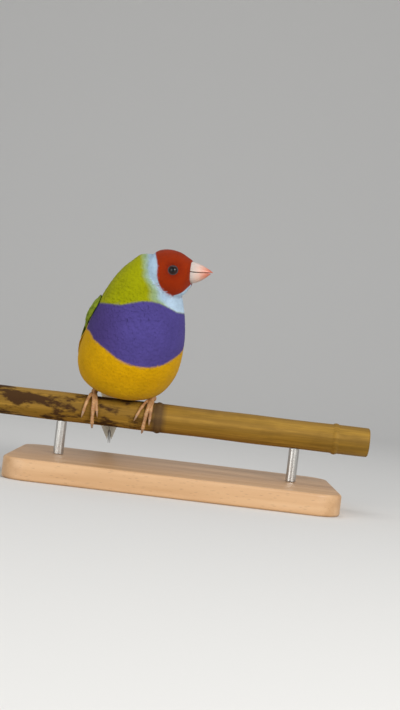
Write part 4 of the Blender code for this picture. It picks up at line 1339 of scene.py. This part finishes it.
def scuted(radius, x, length, pads=0.08):
    """A radius that swells at three pads, narrows to the end and steps at every scute."""
    step = (x * length / SCUTE) % 1.0
    return radius * (1.0 - 0.18 * x) * (1.0 + pads * cos(6 * pi * x)) * (0.94 + 0.12 * step ** 1.5)


print("longest claw:", max(CLAW_LENGTH.values()), "mm")

# %% [markdown]
# ## Skin and horn of the feet
# The feet are bare skin in small scales and the claws are horn. Both are blotched by soft noise,
# and only the skin gets a raised grain, from the cells of a Voronoi pattern 0.4 mm across.

# %% Skin and horn
# Brownish flesh, blotched, with a grain of tiny scales that dulls its shine
scaled_skin, tree, shader = finish_named("scaled skin of the feet")
place = add(tree, "TexCoord").outputs["Object"]
cloud = add(tree, "TexNoise", {"Scale": 500.0, "Detail": 4.0}, {"Vector": place})
ramp = add(tree, "ValToRGB", links={0: cloud})
set_stops(ramp, (0.3, "#8f633a"), (0.72, "#c19564"))
grain = add(tree, "TexVoronoi", {"Scale": 2600.0}, {"Vector": place})
height = {"Height": grain.outputs["Distance"]}
bump = add(tree, "Bump", {"Strength": 0.3, "Distance": 0.00005}, height)
set_shader(
    shader, Base_Color=ramp, Normal=bump, Roughness=0.5, Subsurface_Weight=0.15,
    Subsurface_Scale=0.0012, Subsurface_Radius=(1.0, 0.4, 0.25),
)

# Horn is smoother than skin, so each claw catches a thin line of light
claw_horn, tree, shader = finish_named("claw keratin")
place = add(tree, "TexCoord").outputs["Object"]
cloud = add(tree, "TexNoise", {"Scale": 700.0, "Detail": 3.0}, {"Vector": place})
ramp = add(tree, "ValToRGB", links={0: cloud})
set_stops(ramp, (0.0, "#735640"), (1.0, "#c4a283"))
set_shader(shader, Base_Color=ramp, Roughness=0.32, IOR=1.55)

# %% [markdown]
# ## Fusing a foot
# The joint is a ball, and toes and shank are tubes that start in it. The remesh makes one skin
# of them. Each claw stays a piece of its own, because horn and skin meet in a clear line.

# %% Feet
for side, sign in SIGN.items():
    joint = on_perch(FOOT_X[side], FOOT_JOINT_ANGLE, GAP + FOOT_JOINT_RADIUS)
    bm = bmesh.new()
    bmesh.ops.create_icosphere(bm, subdivisions=3, radius=FOOT_JOINT_RADIUS * 0.95 * MM)
    bmesh.ops.translate(bm, vec=joint * MM, verts=bm.verts)
    for toe, drift, end_angle, radius in (*TOES[side], ("hind", -0.6 * sign, *HIND_TOE)):
        shares = [i / 80 for i in range(81)]
        path = [toe_point(FOOT_X[side], drift, end_angle, radius, x) for x in shares]
        length = sum((b - a).length for a, b in zip(path, path[1:]))
        radii = [scuted(radius, x, length) for x in shares]
        tube(bm, path, radii, 5)
        way = (path[-1] - path[-4]).normalized()
        inward = (Vector((path[-1].x, 0.0, PERCH_AXIS)) - path[-1]).normalized()
        curl = MIDDLE_CURL if toe == "middle" else CURL
        claw_length = CLAW_LENGTH[toe]
        start = path[-1] - way * 0.15
        claw = bmesh.new()
        steps = [i / 16 for i in range(17)]
        ahead, curl_in = way * claw_length, inward * claw_length * curl
        points = [start + ahead * x * (1.0 - 0.22 * x) + curl_in * x * x for x in steps]
        tube(claw, points, [radius * 0.7 * (1.0 - 0.86 * x ** 1.15) for x in steps], 5)
        piece(f"claw_horn_{side}_{toe}", claw, claw_horn, "claw horn", 0.0, (f"claw_{side}_{toe}",))
    shank_way = Vector((-0.4 * sign, *SHANK_RUN))
    shares = [i / 60 for i in range(61)]
    shank = [joint + shank_way * x for x in shares]
    tube(bm, shank, [scuted(SHANK_RADIUS, x, shank_way.length, 0.0) for x in shares], 6)
    foot = fused(object_of(f"foot_skin_{side}", bm), FOOT_VOXEL, FOOT_SMOOTHING)
    dressed(foot, scaled_skin, "foot flesh", 0.0, (f"foot_{side}", f"leg_{side}"))

# %% [markdown]
# ## Perch
# Cane is a giant grass: a hard rind with fine lengthwise lines, a raised ring at each joint,
# and dark stains where water has weathered it, which also take its gloss. A profile spun round
# its axis makes the stem, and noise stretched along it makes the grain.

# %% Rind
PERCH_LENGTH, CANE_JOINTS, JOINT_RISE, JOINT_WIDTH = 146.0, (-8.4, 60.0), 0.45, 1.6
# Golden brown and fibrous, nearly matt, and roughest where it is stained
cane, tree, shader = finish_named("weathered cane rind")
place = add(tree, "TexCoord").outputs["Object"]
centred = add(tree, "Mapping", {"Location": (0.0, 0.0, -PERCH_AXIS * MM)}, {"Vector": place})
along = add(tree, "Mapping", {"Scale": (0.035, 1.0, 1.0)}, {"Vector": centred})
fibre = add(tree, "TexNoise", {"Scale": 1700.0, "Detail": 4.0, "Roughness": 0.6}, {"Vector": along})
tone = add(tree, "TexNoise", {"Scale": 300.0, "Detail": 3.0}, {"Vector": along})
ground = add(tree, "ValToRGB", links={0: tone})
set_stops(ground, (0.0, "#5f4311"), (0.4, "#82611f"), (0.6, "#98742c"), (1.0, "#a9863c"))
lines = add(tree, "MapRange", {1: 0.35, 2: 0.65, 3: 0.8, 4: 1.08}, {0: fibre})
lined = add(tree, "VectorMath", links={0: ground, "Scale": lines}, operation="SCALE")
stretched = add(tree, "Mapping", {"Scale": (0.4, 1.0, 1.0)}, {"Vector": centred})
patchy = {"Scale": 190.0, "Detail": 5.0, "Roughness": 0.62}
blotch = add(tree, "TexNoise", patchy, {"Vector": stretched})
stained = add(tree, "ValToRGB", links={0: blotch})
set_stops(stained, (0.48, "#000000"), (0.57, "#ffffff"))
axis = add(tree, "SeparateXYZ", links={0: centred})
left_part = add(tree, "MapRange", {1: -0.006, 2: -0.016, 3: 0.12, 4: 0.95}, {0: axis})
stain = add(tree, "Math", links={0: stained, 1: left_part}, operation="MULTIPLY")
brown = {MIX_B: linear("#38220f")}
browned = add(tree, "Mix", brown, {0: stain, MIX_A: lined}, data_type="RGBA").outputs[MIX_OUT]
ring_from = add(tree, "Math", {1: CANE_JOINTS[0] * MM}, {0: axis}, operation="SUBTRACT")
ring_away = add(tree, "Math", links={0: ring_from}, operation="ABSOLUTE")
ring = add(tree, "MapRange", {1: 0.0036, 2: 0.0012, 3: 0.0, 4: 0.8}, {0: ring_away})
grey = {MIX_B: linear("#4d3a28")}
greyed = add(tree, "Mix", grey, {0: ring, MIX_A: browned}, data_type="RGBA").outputs[MIX_OUT]
bump = add(tree, "Bump", {"Strength": 0.35, "Distance": 0.0001}, {"Height": fibre})
worn = add(tree, "Math", links={0: stain, 1: ring}, operation="MAXIMUM")
rough = add(tree, "MapRange", {1: 0.0, 2: 1.0, 3: 0.55, 4: 0.85}, {0: worn})
set_shader(shader, Base_Color=greyed, Normal=bump, Roughness=rough, Specular_IOR_Level=0.15)

# %% [markdown]
# ## Turning the stem
# The profile is a line of points from one end to the other, closer together at the joints where
# the ring rises. It is worked out in millimetres, spun once round the axis, and then pressed a
# little out of round, because no cane is a perfect cylinder.

# %% Stem
half = PERCH_LENGTH / 2
round_joint = [sign * part for sign in (1.0, -1.0) for part in (0.1, 0.3, 0.5, 0.75, 1.0)]
stops = sorted(
    {-half + PERCH_LENGTH * i / 120 for i in range(1, 120)}
    | {joint + part * JOINT_WIDTH for joint in CANE_JOINTS for part in round_joint}
)
bm = bmesh.new()
outline_points = [(-half, 0.0), (-half, PERCH_RADIUS - 0.5), (-half + 0.35, PERCH_RADIUS - 0.06)]
for x in stops:
    near = min(abs(x - j) for j in CANE_JOINTS) / JOINT_WIDTH
    rise = JOINT_RISE * max(0.0, 1.0 - near * 1.4) ** 0.5 if near < 0.7 else 0.0
    outline_points.append((x, PERCH_RADIUS + rise - 0.06 * (1.0 + sin(x * 0.17))))
outline_points += [(half - 0.35, PERCH_RADIUS - 0.08), (half, PERCH_RADIUS - 0.5), (half, 0.0)]
profile = [bm.verts.new((x, radius, 0.0)) for x, radius in outline_points]
edges = [bm.edges.new(pair) for pair in zip(profile, profile[1:])]
spun(bm, profile + edges, (1, 0, 0), 72, 1e-4)
for vert in bm.verts:
    around = atan2(vert.co.y, vert.co.z)
    if abs(vert.co.x) < half - 0.1:
        swell = 1.0 + 0.004 * sin(3 * around + vert.co.x * 0.11)
        swell += 0.003 * sin(5 * around - vert.co.x * 0.07)
        vert.co.y, vert.co.z = vert.co.y * swell, vert.co.z * swell
bmesh.ops.translate(bm, vec=(0, 0, PERCH_AXIS), verts=bm.verts)
bmesh.ops.scale(bm, vec=(MM, MM, MM), verts=bm.verts)
perch = piece("perch_cane", bm, cane, "cane", 35.0, ("perch",))

# %% [markdown]
# ## Cut ends
# The ends are sawn square and show pale pith with the dark dots of its fibres. Their faces get
# a finish of their own on the same mesh, because it is one piece of cane.

# %% Cut ends
# Sawn fibres don't shine at all: dark dots in a pale ground
cut_cane, tree, shader = finish_named("sawn end grain of cane")
place = add(tree, "TexCoord").outputs["Object"]
flat = add(tree, "Mapping", {"Scale": (0.0, 1.0, 1.0)}, {"Vector": place})
dots = add(tree, "TexVoronoi", {"Scale": 1900.0}, {"Vector": flat})
ramp = add(tree, "ValToRGB", links={0: dots.outputs["Distance"]})
set_stops(ramp, (0.18, "#5f4424"), (0.34, "#bfa374"))
set_shader(shader, Base_Color=ramp, Roughness=0.85)
perch.data.materials.append(cut_cane)
for face in perch.data.polygons:
    if abs(face.normal.x) > 0.95 and abs(face.center.x) > (half - 1.0) * MM:
        face.material_index = 1
print("faces of the cut ends:", sum(face.material_index for face in perch.data.polygons))

# %% [markdown]
# ## Stand
# The stand only has to hold the perch quietly: an oiled beech base with rounded corners, and
# two steel rods let into the perch. Beech has short brown flecks about 2 mm long in a pale
# pinkish ground, all along the grain. The solids' rods are right as they are, so they keep
# their meshes and get brushed steel.

# %% Beech
# Oil deepens the wood and leaves a low, wide gleam, so the base stays quiet
beech, tree, shader = finish_named("oiled beech")
place = add(tree, "TexCoord").outputs["Object"]
along_board = {"Scale": (0.06, 1.0, 0.8), "Rotation": (0.0, 0.0, 0.03)}
board = add(tree, "Mapping", along_board, {"Vector": place})
rings = add(tree, "TexNoise", {"Scale": 260.0, "Detail": 5.0, "Roughness": 0.55}, {"Vector": board})
ramp = add(tree, "ValToRGB", links={0: rings})
set_stops(ramp, (0.0, "#9a7048"), (0.4, "#b98f63"), (0.6, "#c79f74"), (1.0, "#d4b088"))
fleck_map = add(tree, "Mapping", {"Scale": (0.3, 2.2, 1.5)}, {"Vector": place})
flecks = add(tree, "TexVoronoi", {"Scale": 900.0, "Randomness": 1.0}, {"Vector": fleck_map})
fleck = add(tree, "MapRange", {1: 0.1, 2: 0.24, 3: 0.78, 4: 1.0}, {0: flecks.outputs["Distance"]})
wood = add(tree, "VectorMath", links={0: ramp, "Scale": fleck}, operation="SCALE")
bump = add(tree, "Bump", {"Strength": 0.15, "Distance": 0.00008}, {"Height": rings})
set_shader(
    shader, Base_Color=wood, Normal=bump, Roughness=0.45, Coat_Weight=0.1, Coat_Roughness=0.4,
)

# %% [markdown]
# ## Base board
# A cube scaled to the board's size has twelve edges. The four uprights get a wide bevel first,
# which rounds the corners, and a narrow one then breaks the rims above and below.

# %% Base board
BASE_LENGTH, BASE_DEPTH, BASE_THICKNESS = 124.0, 78.0, 8.0
BASE_CORNER, BASE_EDGE = 10.0, 1.0


def level(edge):
    return abs(edge.verts[0].co.z - edge.verts[1].co.z) < 1e-6


def bevelled(bm, edges, size, steps):
    bmesh.ops.bevel(
        bm, geom=edges, offset=size * MM, segments=steps, profile=0.5, affect="EDGES", material=-1,
    )


bm = bmesh.new()
bmesh.ops.create_cube(bm, size=MM)
bmesh.ops.scale(bm, vec=(BASE_LENGTH, BASE_DEPTH, BASE_THICKNESS), verts=bm.verts)
bmesh.ops.translate(bm, vec=(0, 0, BASE_THICKNESS / 2 * MM), verts=bm.verts)
bevelled(bm, [e for e in bm.edges if not level(e)], BASE_CORNER, 16)
rims = [e for e in bm.edges if level(e) and len({round(f.normal.z) for f in e.link_faces}) > 1]
bevelled(bm, rims, BASE_EDGE, 5)
piece("base_board", bm, beech, "beech", 30.0, ("stand_base",))

# %% [markdown]
# ## Rods
# Brushed steel is a mirror broken by fine parallel marks. Noise squeezed along the rod's height
# draws them, in the roughness and, very low, in the relief.

# %% Rods
# Fine marks run round the rods and draw their reflections out
steel, tree, shader = finish_named("brushed steel")
place = add(tree, "TexCoord").outputs["Object"]
brush = add(tree, "Mapping", {"Scale": (1.0, 1.0, 12.0)}, {"Vector": place})
scratch = add(tree, "TexNoise", {"Scale": 900.0, "Detail": 3.0}, {"Vector": brush})
rough = add(tree, "MapRange", {1: 0.3, 2: 0.7, 3: 0.22, 4: 0.4}, {0: scratch})
bump = add(tree, "Bump", {"Strength": 0.1, "Distance": 0.00003}, {"Height": scratch})
set_shader(shader, Roughness=rough, Normal=bump, Base_Color=linear("#c4c2bd"), Metallic=1.0)
for name in ("stand_rod_left", "stand_rod_right"):
    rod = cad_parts[name]
    rod.data.materials.clear()
    rod.data.materials.append(steel)
    print(name, "keeps its own mesh")

# %% [markdown]
# ## Camera
# The camera stands where the photographer's did: level with the breast, about half a metre off,
# and rolled by seven degrees, which is why the perch slopes in the picture though it's level.

# %% Camera
LENS, DISTANCE, ROLL = 72.5, 550.0, radians(6.84)
cam = bpy.data.cameras.new("camera")
cam.lens, cam.sensor_width = LENS, 36.0
camera = bpy.data.objects.new("camera", cam)
camera.location = Vector((FEET_X + 28.9, -DISTANCE, PERCH_TOP + 20.3)) * MM
facing = Matrix.Rotation(radians(90), 3, "X") @ Matrix.Rotation(ROLL, 3, "Z")
camera.rotation_euler = facing.to_euler()
bpy.context.scene.collection.objects.link(camera)
bpy.context.scene.camera = camera
cam.clip_start, cam.clip_end = 0.02, 20.0
print("camera at", [round(v, 3) for v in camera.location], "m")

# %% [markdown]
# ## Light
# Plumage shows best in broad soft light from the front. A large lamp to the right models the
# form, a weaker one opens the shadows from the left, a faint one from above draws the back,
# and an even grey world stands in for the walls of a studio.

# %% Light
WALLS, WALLS_STRENGTH = (0.9, 0.93, 1.0, 1.0), 0.42
LIT_PLACE = Vector((-0.01, 0.0, 0.06))
world = bpy.data.worlds.new("studio")
bpy.context.scene.world = world
world.use_nodes = True
background = world.node_tree.nodes["Background"]
background.inputs[0].default_value, background.inputs[1].default_value = WALLS, WALLS_STRENGTH
for name, place, size, power in (
    ("key", (0.42, -0.7, 0.4), 0.5, 6.0),
    ("fill", (-0.55, -0.6, 0.16), 0.6, 3.0),
    ("top", (0.0, 0.2, 0.8), 0.6, 1.2),
):
    lamp = bpy.data.lights.new(name, "AREA")
    lamp.shape, lamp.size, lamp.energy = "DISK", size, power
    light = bpy.data.objects.new(name, lamp)
    light.location = place
    light.rotation_euler = (LIT_PLACE - light.location).to_track_quat("-Z", "Y").to_euler()
    bpy.context.scene.collection.objects.link(light)
    print(f"{name}: {power} W from a disk {size} m wide")
bpy.context.scene.view_settings.view_transform = "Standard"

# %% [markdown]
# ## Floor
# Studio paper hangs from a roll and sweeps forward under the model without a corner. A grid
# bent along its length does the same: flat, then a quarter circle, then straight up.

# %% Floor
HALF_WIDTH, ROLL_LENGTH, FLAT, BEND = 2.5, 3.0, 1.6, 0.6  # in metres, the last a radius
NEAR_END = -1.0
bm = bmesh.new()
bmesh.ops.create_grid(bm, x_segments=2, y_segments=80, size=1.0)
for vert in bm.verts:
    run = (vert.co.y + 1.0) / 2 * ROLL_LENGTH
    turn = min(max(0.0, run - FLAT) / BEND, pi / 2)
    rise = max(0.0, run - FLAT - BEND * pi / 2)
    vert.co.x *= HALF_WIDTH
    vert.co.y = NEAR_END + min(run, FLAT) + BEND * sin(turn)
    vert.co.z = BEND * (1.0 - cos(turn)) + rise
floor = object_of("floor", bm)
bpy.context.scene.collection.objects.link(floor)
# Matt, slightly warm paper shows shadows but no reflection
floor_finish, tree, shader = finish_named("seamless studio paper")
set_shader(shader, Base_Color=linear("#d9d7d2"), Roughness=0.9)
floor.data.materials.append(floor_finish)
floor.data.shade_smooth()
print("paper:", len(floor.data.polygons), "faces")
